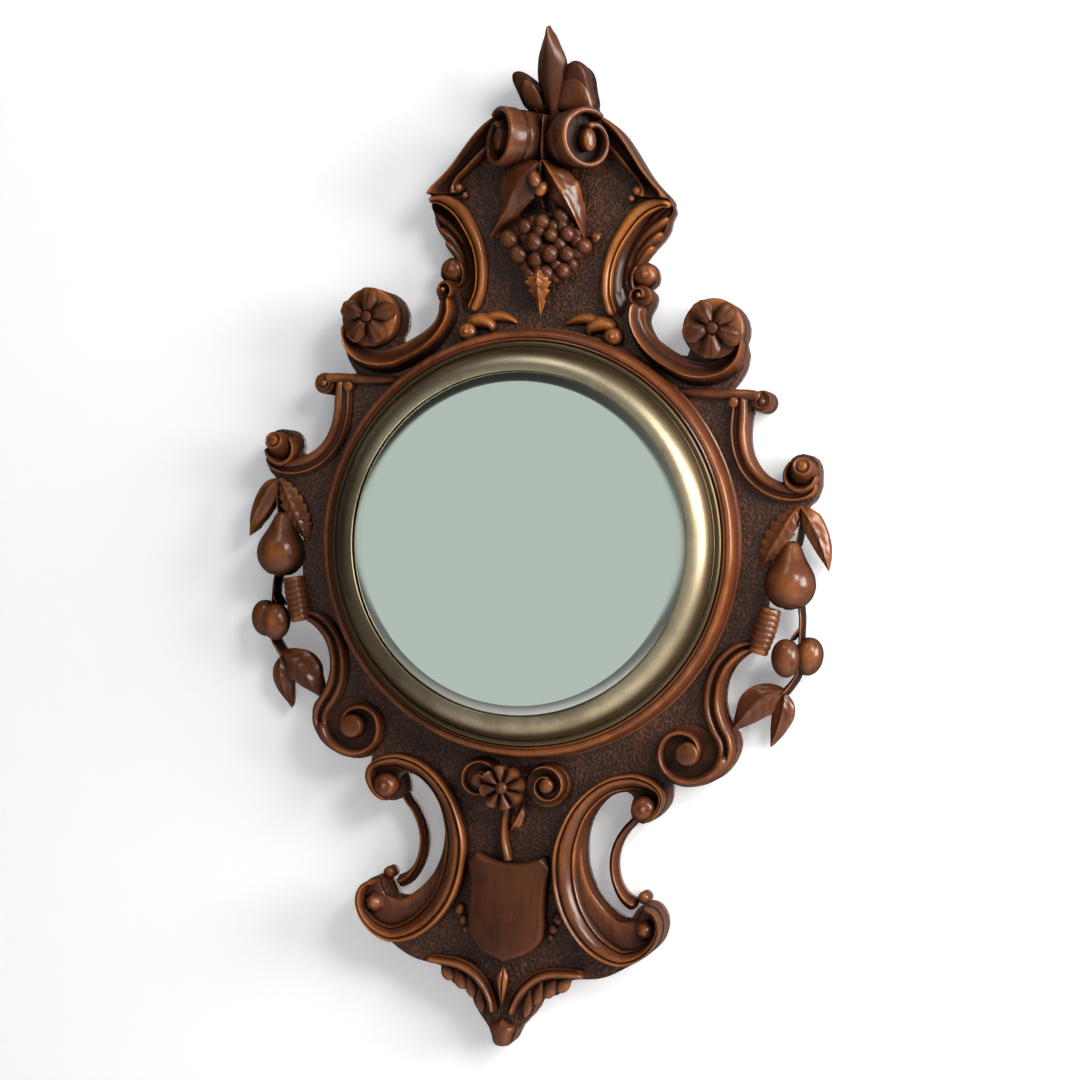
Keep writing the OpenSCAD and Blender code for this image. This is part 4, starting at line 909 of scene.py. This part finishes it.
class MIRROR_OT_vine(bpy.types.Operator):
    """Carve the vine leaves, the grapes and the leaf sprays"""

    bl_idname = "mirror.vine"
    bl_label = "Vine"

    def execute(self, context):
        carved = FINISHES["carved"]
        left = leaf([[-2, 320, 57], [-12, 311, 58], [-22, 298, 55], [-32, 280, 47], [-48, 258, 36]],
            [[3, 4], [13, 15], [17, 17.5], [15, 15], [9, 8], [0.6, 0.6]],
            thick=6, fold=-1.6, cup=6, teeth=4, notch=0.13, veins=4, vein=0.7, n=10, across=21)
        right = leaf([[1, 322, 58], [9, 311, 60], [19, 296, 58], [28, 279, 50], [37, 258, 40]],
            [[3, 3], [10, 9.5], [14, 13.5], [14, 13], [9, 8], [0.5, 0.5]],
            thick=6, fold=-3.4, cup=8.5, teeth=4, notch=0.12, veins=4, vein=0.5, n=10, across=21)
        small = [leaf(spine, width, thick=4, fold=-0.8, cup=1.5, **more) for spine, width, more in (
            ([[-36, 262, 33], [-42, 264, 34], [-49, 268, 30]], [[3, 3], [6, 6], [6, 5], [1, 1]],
             {"teeth": 3, "notch": 0.3}),
            ([[-36, 265, 32], [-41, 270, 33], [-46, 275, 29]], [[2, 2], [4, 4], [4, 4], [0.6, 0.6]], {}),
            ([[39, 262, 33], [44, 262, 34], [49.5, 265, 30]], [[3, 3], [5, 5], [5, 4], [0.8, 0.8]], {}),
        )]
        pendant = leaf([[1, 231, 51], [1, 222, 53], [1, 210, 47], [1, 194, 36]],
            [[2, 2], [8, 9], [11.5, 12], [10, 10], [5, 5], [0.4, 0.4]], thick=5, fold=-1.4, cup=2.5, teeth=5,
            notch=0.32, veins=4, vein=0.9, n=14, across=19)
        stem = sweep([[0, 324, 4.5, 30], [-1, 310, 4, 28], [-2, 296, 4, 20], [0, 282, 3.6, 13]], ROUND, 28)
        twig = sweep([[4, 300, 4], [8, 291, 3.6], [12, 283, 3]], ROUND, 30, 10)
        bud = bead(-4, 305, 60, 5.6, 1.35, [("X", 80), ("Y", 20)])
        knob = bead(1.5, 297.5, 57, 4.8, 1.4, [("X", 80), ("Y", -25)])
        piece("pendant_carved", [pendant, sweep([[1, 232, 5, 20], [1, 220, 7, 20], [1, 208, 6, 14],
            [1, 199, 4, 7]], ROUND, 25)], FINISHES["golden"], ["vine_leaves"])
        piece("vine_carved", [left, right, stem, twig, bud, knob] + small, carved, ["vine_leaves"])

        grapes = [bead(x + 0.9 * math.sin(5 * i), h + 0.9 * math.cos(3 * i), 41 + d + math.sin(7 * i),
                r * (1.04 + 0.1 * math.sin(2.7 * i)), 1.1 + 0.12 * math.cos(4 * i),
                [("X", 90 + 30 * math.sin(i)), ("Y", 50 * math.cos(2.3 * i))]) for i,
            (x, h, r, d) in enumerate(GRAPES)]
        fill = [[-12, 251, 6.4, -2], [30, 256, 6.4, -3], [15.5, 253, 6.6, 0], [1, 247.5, 6.6, 0],
            [14, 237, 6.4, -1], [-15, 259, 6, -2], [29, 264, 6, -4], [-24, 249, 6.6, -3], [9.5, 268, 6.4, 0],
            [-2.5, 264, 6.2, 2], [-13, 234, 6, -2], [17, 268.5, 6, 0], [-8, 271, 6, -1], [31, 247.5, 6, -4],
            [26, 238, 5.6, -4], [-2, 231.5, 6, 0], [12, 226, 5.6, -3], [-22, 264, 5.6, -3]]
        grapes += [bead(x, h, 41 + d, r, 1.15, [("X", 70 + 40 * math.sin(3 * x)), ("Y", 40 * math.cos(h))])
            for x, h, r, d in fill]
        bed = pillow(smooth([[-4, 278], [-18, 269], [-28, 258], [-25, 246], [-16, 237], [-8, 228], [6, 226],
                [20, 231], [30, 246], [34, 255], [22, 266], [10, 277], [-4, 278]], 5),
            (2, 252), [(1, 4), (0.85, 10), (0.5, 14), (0.05, 14)])
        piece("grapes_carved", grapes + [bed], FINISHES["dark"], ["grape_cluster"])

        spray = [sweep([[21, 187, 3, 5], [29, 191, 8, 8], [38, 192.5, 11, 9.5], [46, 191, 11, 9.5],
                [51, 187.5, 7, 8]], ROUND, 24, ends=(2, 3)),
            sweep([[42, 177.5, 6, 8], [44, 184, 12, 11.5], [51, 188, 15.5, 13], [59, 187.5, 14, 12.5],
                [66, 184, 8, 9]], ROUND, 24, ends=(3, 3)),
            dome(64, 177.6, 8.2, 24, 39.5, lip=0.25)]
        pair("spray", spray, FINISHES["golden"], "leaf_spray")
        return {"FINISHED"}


class MIRROR_OT_flowers(bpy.types.Operator):
    """Carve the flower scrolls and the flowers"""

    bl_idname = "mirror.flowers"
    bl_label = "Flower scrolls"

    def execute(self, context):
        carved = FINISHES["carved"]
        tilt = math.degrees(context.scene.mirror_sizes.flower_tilt)
        bowl = sweep(BOWL, BOWL_PROFILE, 25, 19, n=9, ends=(6, 6))
        small = [put(s, (86, 213, 25)) for s in volute(9.4, 0, 16, 0.85, 250, -1, eye=0.24)]
        a = np.linspace(0, 2 * math.pi, 72, endpoint=False)
        slope = math.tan(math.radians(tilt))
        rows = []
        cx, cy, front = FLOWER_AT
        for r, drop in ((25.5, None), (25.5, -3.2), (24.9, -1.8), (23.4, -1.0), (0.1, -0.8)):
            x, h = r * np.cos(a), r * np.sin(a)
            depth = np.full(72, 24.0) if drop is None else front - x * slope + drop
            rows.append(np.stack([cx + x, cy + h, depth], 1))
        pair("bowl", [bowl, loft(rows)] + small, carved, "flower_scroll")
        for side, hand, turn in (("right", 1, -93), ("left", -1, 90)):
            bloom = blossom(5, 25.8, -3, 6.5, cup=0.15, notch=0.02, gap=0.52, crease=0.05, turn=turn,
                heart=0.19, slim=1.35)
            set_in = [put(s, (cx * hand, cy, front), [("Y", tilt * hand)]) for s in bloom]
            piece("flower_carved_" + side, set_in, FINISHES["dark"], ["flower_" + side])
        return {"FINISHED"}


class MIRROR_OT_sides(bpy.types.Operator):
    """Carve the side scrolls and the hanging fruit"""

    bl_idname = "mirror.sides"
    bl_label = "Sides"

    def execute(self, context):
        carved = FINISHES["carved"]
        band = sweep(SIDE, TWIN, 25, 9, n=9, ends=(2, 6))
        ledge = sweep([[118, 134.3, 7], [140, 134.1, 8], [165, 134, 8.6], [184, 134, 8.6], [192, 132, 8]],
            SOFT, 25, 6.5, ends=(2, 2))
        roll = [put(s, CURL_AT) for s in volute(9.3, 18, 31, 1.1, 90, -1)]
        trunk = put(lathe([(9.2, 0), (9.3, 1), (9.3, 26), (9.0, 27.5)], 40), CURL_AT)
        knob = dome(170, 127, 4.6, 25, 34.5)
        cone = lathe([(13.4, 0), (12.6, 4), (10.6, 10), (8.6, 16), (7.8, 20), (7.0, 21), (5.6, 19.6),
            (0.1, 19.4)])
        peg = [put(s, (230.5, 72, 24), [("X", -14), ("Y", 4)]) for s in (cone, dome(0, 0, 4.4, 15, 22.5))]
        hook = sweep([[243, 70, 4], [238, 61, 7], [228, 57, 8], [219, 62, 7], [217, 72, 5], [221, 81, 3]],
            ROUND, 25, 12)
        pair("side", [band, ledge, trunk, knob, hook] + roll + peg, carved, "side_scroll")

        fringe = leaf([[229, 44, 31], [222, 33, 34], [214, 17, 34], [206, 2, 32], [201.5, -9, 28]],
            [[1.5, 1.5], [8, 8], [10.5, 12], [10.5, 12], [7.5, 8], [0.5, 0.5]],
            thick=6, fold=-1.5, cup=2.5, teeth=8, notch=0.3, veins=8, vein=0.8, n=14, across=19)
        plain = leaf([[230, 44, 30], [238, 35, 33], [247, 19, 32], [253, 4, 30], [256.5, -8, 26]],
            [[1.5, 1.5], [7, 7], [8, 9], [6.5, 7.5], [4, 4.5], [0.4, 0.4]], thick=24, fold=-1.5, cup=3.0,
            veins=6, vein=0.5, n=10, across=17)
        pair("swag_leaf", [fringe, plain], carved, "swag_leaves")

        pear = [(0.2, -20.6), (3.4, -20.2), (4.6, -19.4), (9, -18.6), (14, -15.2), (18.2, -9.5), (20.3, -2.5),
            (20.2, 3), (18.6, 9), (15.4, 15), (12, 20.5), (9.4, 26), (7.2, 31), (4.6, 34.4), (1, 35.4),
            (0.1, 35.5)]
        fruit = put(lathe(smooth([[r * 1.05, z * 1.02] for r, z in pear], 4), 64), (225.2, -21, 27),
            [("X", -90)])
        stalk = sweep([[228, 10, 4], [230, 22, 3.6], [231, 34, 3.4]], ROUND, 4, 28)
        pair("pear", [fruit, stalk], carved, "pear")

        def girth(k):
            """Radius of the ribbed husk at a share k of its length."""
            ribs = 1 - 0.06 * abs(math.cos(8 * math.pi * k)) ** 3
            return (7.4 + 2.4 * math.sin(math.pi * (0.15 + 0.75 * k))) * ribs

        levels = [(girth(k), 39 * k) for k in np.linspace(0, 1, 73)]
        horn = put(lathe([(0.1, 0)] + levels + [(0.1, 39)], 40), (211.5, -41.5, 31.5),
            [("Z", -14), ("X", 90)])
        pair("husk", [horn], carved, "husk")

        egg = [(0.1, -16), (3.4, -15.3), (7.4, -12.6), (10.8, -7.4), (12.2, -1), (11.8, 5), (9.6, 10.5),
            (6.4, 14), (3.2, 15.7), (0.1, 16)]
        turned = lathe(smooth([[max(r, 0.1), z] for r, z in egg], 4), 48)
        berries = [put(turned, (225.5, -82, 29), [("Z", 4), ("X", -90)]),
            put(turned, (242, -80, 14), [("Z", -6), ("X", -90)])]
        stems = [sweep([[232, -36, 6], [234, -48, 5.4], [234.4, -62, 5.4], [235, -76, 5]], ROUND, 3, 17,
                ends=(1, 1)),
            sweep([[236, -86, 6], [233, -97, 6], [227.5, -106, 6.6], [222, -113, 7.4]], ROUND, 2, 19.5,
                ends=(1, 2)),
            sweep([[234, -57, 4], [230, -63, 3.8], [227, -68, 3.6]], ROUND, 5, 20)]
        pair("berry", berries + stems, carved, "berries")

        drops = [leaf([[225, -109, 20], [213, -113, 25], [202, -121, 27], [192, -133, 26], [182, -146, 21]],
                [[2, 2], [11, 9], [14.5, 13], [13, 13], [8.5, 8], [1, 1]], thick=20, fold=-2, cup=4, veins=5,
                vein=0.7, n=10, across=19),
            leaf([[224, -112, 17], [224, -124, 19], [221, -138, 18], [214, -158, 11]],
                [[2, 2], [7.5, 8.5], [9, 9], [7, 7], [0.5, 0.5]], thick=16, fold=-1.6, cup=3, veins=5,
                vein=0.6, n=10, across=17)]
        pair("drop_leaf", drops, carved, "drop_leaves")

        lower = sweep(LOWER[:12], PAIRED, 25, 9, n=9, ends=(4, 8))
        curl = sweep(LOWER[9:], section((0, 0.5, 1.0), wall=0.4), 25, 12, n=9, ends=(8, 3))
        floor = put(lathe([(24.5, 0), (24, 2.2), (15, 1.6), (0.1, 1.2)], 48), (*LOWER_AT, 25))
        eye = dome(*LOWER_AT, 10.5, 25, 41)
        pair("lower", [lower, curl, floor, eye], carved, "lower_scroll")
        return {"FINISHED"}


class MIRROR_OT_apron(bpy.types.Operator):
    """Carve the apron: base scrolls, rosette, shield, arches and drop"""

    bl_idname = "mirror.apron"
    bl_label = "Apron"

    def execute(self, context):
        carved = FINISHES["carved"]
        cove = between(smooth(APRON_OUT), smooth(APRON_IN), [(0, 3), (0.02, 4), (0.4, 4), (0.8, 3.6),
            (0.95, 3), (1, 2)], count=150)
        roll = np.array([[0, 0], [0, 0.5], [0.01, 0.78], [0.05, 0.95], [0.11, 1.0], [0.17, 0.97],
            [0.215, 0.87], [0.235, 0.8], [0.255, 0.87], [0.3, 0.93], [0.4, 0.93], [0.5, 0.87], [0.6, 0.78],
            [0.68, 0.68], [0.72, 0.61], [0.735, 0.54], [0.75, 0.58], [0.79, 0.65], [0.84, 0.62], [0.88, 0.5],
            [0.9, 0.36], [0.94, 0.2], [1, 0.12], [1, 0]])
        broad = unrolled(APRON_OUT, [4, 6.5, 8.5, 14, 16, 15, 15.5, 17, 19.5, 21.5, 22.5, 22.5, 22.5, 22, 21,
            18.5, 15, 11, 8, 6.5, 5], roll, 25, 19, (5, 4))
        top_eye = dome(114.5, -215.5, 10.8, 25, 46, lip=0.3)
        low_eye = put(lathe([(9.8, 0), (9.6, 6), (6.2, 11.5), (2.2, 14.6), (0.1, 15)], 6), (120.5, -318, 25),
            [("Z", 20)])
        pair("base", [cove, broad, top_eye, low_eye], carved, "base_scroll")
        slender = sweep(SLENDER, section((0.05, 0.42, 1.0), (-0.36, 0.14, 0.8), wall=0.4), 0.5, 17.5, n=9,
            ends=(5, 4))
        ball = put(lathe([(5.2, 0), (5.4, 12), (5, 15), (3.4, 17.4), (0.1, 18)], 32), (114, -294, 0))
        pair("slender", [slender, ball], carved, "slender_scroll")

        cup = lathe([(11, 0), (11.4, 8), (14, 16), (16.5, 20), (15, 21), (0.1, 21)], 48)
        bloom = blossom(8, 19.2, 17, 28, cup=0.45, notch=0.0, gap=0.15, crease=0.0, turn=12, heart=0.3,
            slim=1.25)
        centre = dome(0, 0, 5.6, 22, 32, lip=0.3)
        piece("rosette_carved", [put(s, ROSETTE_AT) for s in [cup, centre] + bloom], FINISHES["dark"],
            ["rosette"])
        rolls = []
        plinth = lathe([(19.2, 0), (19.2, 7), (18.2, 9), (14, 8)])
        for s in (1, -1):
            coil = volute(19.2, 0, 18, 1.25, 90 + 60 * s, -s, band=0.25)
            rolls += [put(v, (29.8 * s, -203.4, 25)) for v in coil + [plinth]]
        piece("rosette_rolls_carved", rolls, carved, ["rosette_volutes"])

        stem = sweep([[-6, -226, 8.5], [-6.8, -240, 7.4], [-6.2, -253, 7.4], [-4, -263, 8.2], [-2, -272, 10]],
            SOFT, 25, 12, ends=(2, 2))
        sprig = leaf([[-3, -246, 32], [2, -240, 36], [7, -230, 37], [9.5, -218, 33]],
            [[1, 1], [5, 4.5], [6, 5.5], [3.4, 3.4], [0.8, 0.8]], thick=5, fold=-1.2, cup=2.4, teeth=3,
            notch=0.2)
        piece("stem_and_sprig_carved", [stem, sprig], carved, ["shield_stem"])
        half = np.vstack([smooth([[0, -271.5], [14, -270], [29.5, -264.5]], 10),
            smooth([[29.5, -264.5], [33, -267.5], [37, -273]], 6)[1:], smooth([[37, -273], [33.8, -290],
            [33, -308], [34, -325], [31, -338], [20, -349], [0, -357.5]], 8)[1:]])
        outline = np.vstack([half, half[-2:0:-1] * [-1, 1]])
        levels = [(1, 9), (0.993, 11.6), (0.975, 13)]
        levels += [(k, 13.6) for k in (0.94, 0.88, 0.8, 0.7, 0.58, 0.44, 0.28, 0.12, 0.02)]
        points, faces = pillow(outline, (0, -306), levels)
        # inside its rim the shield swells by 6.3 mm, falling to nothing 38 mm aside and 58 mm up or down
        field = points[:, 2] > 38.3
        x, h = points[field, 0] / 38, (points[field, 1] + 308) / 58
        points[field, 2] += 6.3 * (1 - x * x) * (1 - h * h)
        piece("shield_carved", [(points, faces)], FINISHES["waxed"], ["shield"], sharp=70)
        beads = []
        for s in (1, -1):
            beads += [bead(43.8 * s, -316.5, 27.5, 5.2), bead(39.6 * s, -325.6, 27, 4.4),
                bead(37.5 * s, -333.5, 25.8, 3.4)]
        piece("beads_carved", beads, carved, ["bead_sprigs"])

        arch = sweep([[x, h, w * 1.12] for x, h, w in ARCH], section((0.04, 0.44, 1.0), (-0.42, 0.08, 0.7),
            wall=0.3), 25, 13, n=9, ends=(4, 4))
        lobes = [teardrop([57, -363], [47, -379], 13, 6.5), teardrop([45, -366], [36.5, -385.5], 12.5, 6.5),
            teardrop([33, -370], [27.5, -392], 11, 6.5), teardrop([23, -378], [19, -404], 10, 6)]
        piece("arches_carved", [arch] + lobes + [mirrored(s) for s in [arch] + lobes], carved,
            ["base_arches"])
        keel = leaf([[0, -361, 34], [0, -371, 38], [0, -382, 37], [0, -394, 33]],
            [[0.5, 0.5], [4.4, 4.4], [4, 4], [2.6, 2.6], [0.4, 0.4]], thick=12, fold=1.6, cup=2)
        drop = pillow(smooth([[0, -406], [6, -409.5], [11, -413], [8.5, -421], [6, -428], [0, -430],
                [-6, -428], [-8.5, -421], [-11, -413], [-6, -409.5], [0, -406]], 6),
            (0, -417),
            [(1, 4), (0.95, 7), (0.75, 10), (0.4, 11.8), (0.03, 12)])
        piece("drop_carved", [keel, drop], carved, ["base_drop"])
        return {"FINISHED"}


class MIRROR_OT_wear_and_shade(bpy.types.Operator):
    """Darken what lies lower than its surroundings and brighten what stands above them, painted shade and
    highlight mixed with polish wear, and darken what turns away from the front as painted shade
    """

    bl_idname = "mirror.wear"
    bl_label = "Wear"

    def execute(self, context):
        size, rows, columns = 1.25, 710, 425  # cells of the field of depths
        low, left = -440.0, -265.0  # its lower left corner
        under = 4.0  # depth taken where there is no board

        def relief(p):
            return np.column_stack([p[:, 0], p[:, 2] + HOOK, -p[:, 1]])

        def cell(p):
            row = np.clip(((p[:, 1] - low) / size).astype(int), 0, rows - 1)
            return row, np.clip(((p[:, 0] - left) / size).astype(int), 0, columns - 1)

        found = []
        for obj in context.scene.objects:
            if obj.type == "MESH" and obj.data.attributes.get("crest"):
                points = relief(read(obj.data.vertices, "co") * 1000)
                found.append((obj, points, relief(read(obj.data.polygons, "center") * 1000)))
        tops = []
        for name in ("crest_board", "centre_board", "apron_board"):
            board = frame["nodes"][name]
            points = [board.matrix_world @ v.co for v in board.data.vertices]
            tops.append(BVHTree.FromPolygons(points, [list(f.vertices) for f in board.data.polygons]))
        coarse = np.full((rows // 2, columns // 2 + 1), under)
        for i, j in np.ndindex(coarse.shape):
            x, h = left + (2 * j + 1) * size, low + (2 * i + 1) * size
            start = Vector((x / 1000, -0.2, (h - HOOK) / 1000))
            if any(tree.ray_cast(start, Vector((0, 1, 0)))[0] is not None for tree in tops):
                coarse[i, j] = BOARD
        field = np.kron(coarse, np.ones((2, 2)))[:, :columns]
        for _, points, middles in found:
            for p in (points, middles):
                np.maximum.at(field, cell(p), p[:, 2])
        for axis in (0, 1):
            field = np.maximum(field, np.maximum(np.roll(field, 1, axis), np.roll(field, -1, axis)))
        soft = field
        for reach in (1, 2, 3, 3):
            for axis in (0, 1):
                soft = sum(np.roll(soft, k, axis) for k in range(-reach, reach + 1)) / (2 * reach + 1)
        for obj, points, _ in found:
            # height above the blurred surroundings: low places get painted shade and raised ones painted
            # highlight, on top of the real wax and polish wear
            above = points[:, 2] - soft[cell(points)]
            if obj.name.startswith(("crest_side", "slender", "drop_leaf", "pear", "berry", "husk", "swag",
                "ring")):
                above = np.maximum(above, 0.0)
            crest = np.empty(len(points), np.float32)
            attribute = obj.data.attributes["crest"].data
            attribute.foreach_get("value", crest)
            # surfaces turned away from the front get darker and front-facing ones lighter: painted shade and
            # highlight, strongest on the pear and the berries
            front = np.clip(-read(obj.data.vertices, "normal")[:, 1], 0, 1)
            facing = 0.85 if obj.name.startswith(("pear", "berry")) else 0.3
            # the crest attribute now mixes polish wear on the crests with painted light and shade
            crest = 0.5 * crest + 0.25 + np.clip(above / 14, -0.36, 0.2) + facing * (front - 0.74)
            attribute.foreach_set("value", np.clip(crest, 0, 1).astype(np.float32))
        return {"FINISHED"}


class MIRROR_OT_stage(bpy.types.Operator):
    """Set up the wall, the floor, the lamps and the camera"""

    bl_idname = "mirror.stage"
    bl_label = "Stage"

    def execute(self, context):
        bpy.ops.object.select_all(action="DESELECT")
        # The wall lies 3 mm behind the frame. It lets light through from its back, and to what it
        # would shade less than 10 mm away, so that the rear lamp reaches the back of the frame.
        pale = Finish("pale wall")
        hidden = pale.add("BsdfTransparent")
        behind = Sum(pale, pale.add("NewGeometry").outputs["Backfacing"])
        ray = pale.add("LightPath").outputs
        passing = Sum(pale, ray["Is Shadow Ray"]) * (1.0 - Sum(pale, ray["Ray Length"]).step(0.009, 0.010))
        blend = pale.add("MixShader", {}, {0: (behind + passing).limit(), 1: pale.shader.outputs[0],
            2: hidden.outputs[0]})
        pale.tree.links.new(blend.outputs[0], pale.out.inputs[0])
        seen = Sum(pale, pale.add("LightPath").outputs["Is Camera Ray"])
        pale.set(color=pale.mix(seen, (0.28, 0.27, 0.26), (0.885, 0.93, 0.965)), rough=0.9,
            **{"Emission Color": pale.mix(seen, (0, 0, 0), (0.22, 0.22, 0.225)), "Emission Strength": 1.0})
        floor = Finish("pale floor").set(color=(0.93, 0.93, 0.93), rough=0.85)

        def plane(name, finish, where, turn=(0, 0, 0)):
            bpy.ops.mesh.primitive_plane_add(size=9, location=where, rotation=turn)
            made = context.active_object
            made.name = name
            made.data.materials.append(finish)
            bpy.ops.object.transform_apply(location=True, rotation=True, scale=True)
            return made

        wall = plane("wall", pale.material, (0, 0.003, 1.6), (math.pi / 2, 0, 0))
        ground = plane("floor", floor, (0, -4.497, -1.5))

        def lamp(name, where, aim, power, size, colour=(1, 1, 1), spread=180):
            bpy.ops.object.light_add(type="AREA", location=where)
            light = context.active_object
            light.name = name
            light.data.energy, light.data.size, light.data.color = power, size, colour
            light.data.spread = math.radians(spread)
            light.rotation_euler = (Vector(aim) - Vector(where)).to_track_quat("-Z", "Y").to_euler()

        lamp("window", (1.7, -1.8, 1.1), (0, 0, -0.25), 40, 0.8, (1.0, 0.945, 0.90))
        lamp("side window", (2.3, -0.75, 0.25), (0, 0, -0.25), 76, 1.1, (1.0, 0.945, 0.90))
        lamp("room", (-0.3, -1.5, 1.9), (0, 0, -0.2), 9, 0.8)
        lamp("rear window", (0.7, 2.3, 0.0), (0, 0, -0.26), 12, 1.2, spread=60)
        world = bpy.data.worlds.new("pale room")
        room = Finish("", world)
        parts = room.add("SeparateXYZ", {}, {0: room.add("TexCoord").outputs["Object"]})
        x, y, z = (Sum(room, parts.outputs[i]) for i in range(3))
        # a pale card on the left, in front of the wall, for the glass, the brass and the wax to mirror
        away = ((x + 0.26) * 2.0).power(2.0) + (z * 6.0).power(2.0) + y.step(-0.3, 0.0) * 9.0
        card = 1.0 - away.step(0.45, 1.5)
        ray = room.add("LightPath").outputs
        side = x.step(-0.3, 0.9)
        shine = room.mix(card, room.mix(side, (0.03, 0.028, 0.025), (0.34, 0.34, 0.32)), (0.56, 0.61, 0.57))
        light = room.mix(Sum(room, ray["Is Glossy Ray"]), room.mix(side, (0.09, 0.09, 0.09),
            (0.42, 0.41, 0.40)), shine)
        light = room.mix(y.step(-0.02, 0.1), light, (0, 0, 0))
        light = room.mix(Sum(room, ray["Is Camera Ray"]), light, (0.93, 0.93, 0.93))
        room.tree.links.new(light, room.tree.nodes["Background"].inputs[0])
        context.scene.world = world
        context.scene.view_settings.view_transform = "Standard"

        # the camera that the photo's outline was fitted to; its focal length is in photo pixels
        focal, photo, sensor = 2289.5, 1080, 36
        yaw, pitch, roll = (math.radians(v) for v in (15.28, -0.895, 3.17))
        forward = Vector((-math.sin(yaw) * math.cos(pitch), math.cos(yaw) * math.cos(pitch), math.sin(pitch)))
        level = Vector((math.cos(yaw), math.sin(yaw), 0))
        above = level.cross(forward)
        right = math.cos(roll) * level + math.sin(roll) * above
        up = -math.sin(roll) * level + math.cos(roll) * above
        data = bpy.data.cameras.new("camera")
        data.sensor_width, data.lens = sensor, focal / photo * sensor
        camera = bpy.data.objects.new("camera", data)
        context.scene.collection.objects.link(camera)
        camera.matrix_world = Matrix((right, up, -forward)).transposed().to_4x4()
        camera.location = (0.5225, -1.906, 0.034 - HOOK / 1000)
        context.scene.camera = camera
        return {"FINISHED"}


OPERATORS = (MIRROR_OT_finishes, MIRROR_OT_ring, MIRROR_OT_bezel, MIRROR_OT_glass, MIRROR_OT_crest,
    MIRROR_OT_vine, MIRROR_OT_flowers, MIRROR_OT_sides, MIRROR_OT_apron, MIRROR_OT_wear_and_shade, MIRROR_OT_stage)


class MIRROR_PT_panel(bpy.types.Panel):
    """Pieces of the mirror"""

    bl_label = "Carved wall mirror"
    bl_space_type = "VIEW_3D"
    bl_region_type = "UI"
    bl_category = "Mirror"

    def draw(self, context):
        for group in (context.scene.mirror_sizes, context.scene.mirror_colours):
            for key in group.__annotations__:
                self.layout.prop(group, key)
        for kind in OPERATORS:
            self.layout.operator(kind.bl_idname)


CLASSES = (MirrorSizes, MirrorColours) + OPERATORS + (MIRROR_PT_panel,)


def register():
    for kind in CLASSES:
        bpy.utils.register_class(kind)
    bpy.types.Scene.mirror_sizes = bpy.props.PointerProperty(type=MirrorSizes)
    bpy.types.Scene.mirror_colours = bpy.props.PointerProperty(type=MirrorColours)


def unregister():
    del bpy.types.Scene.mirror_colours
    del bpy.types.Scene.mirror_sizes
    for kind in reversed(CLASSES):
        bpy.utils.unregister_class(kind)


def main():
    register()
    for kind in OPERATORS:
        group, name = kind.bl_idname.split(".")
        getattr(getattr(bpy.ops, group), name)()


if __name__ == "__main__":
    main()
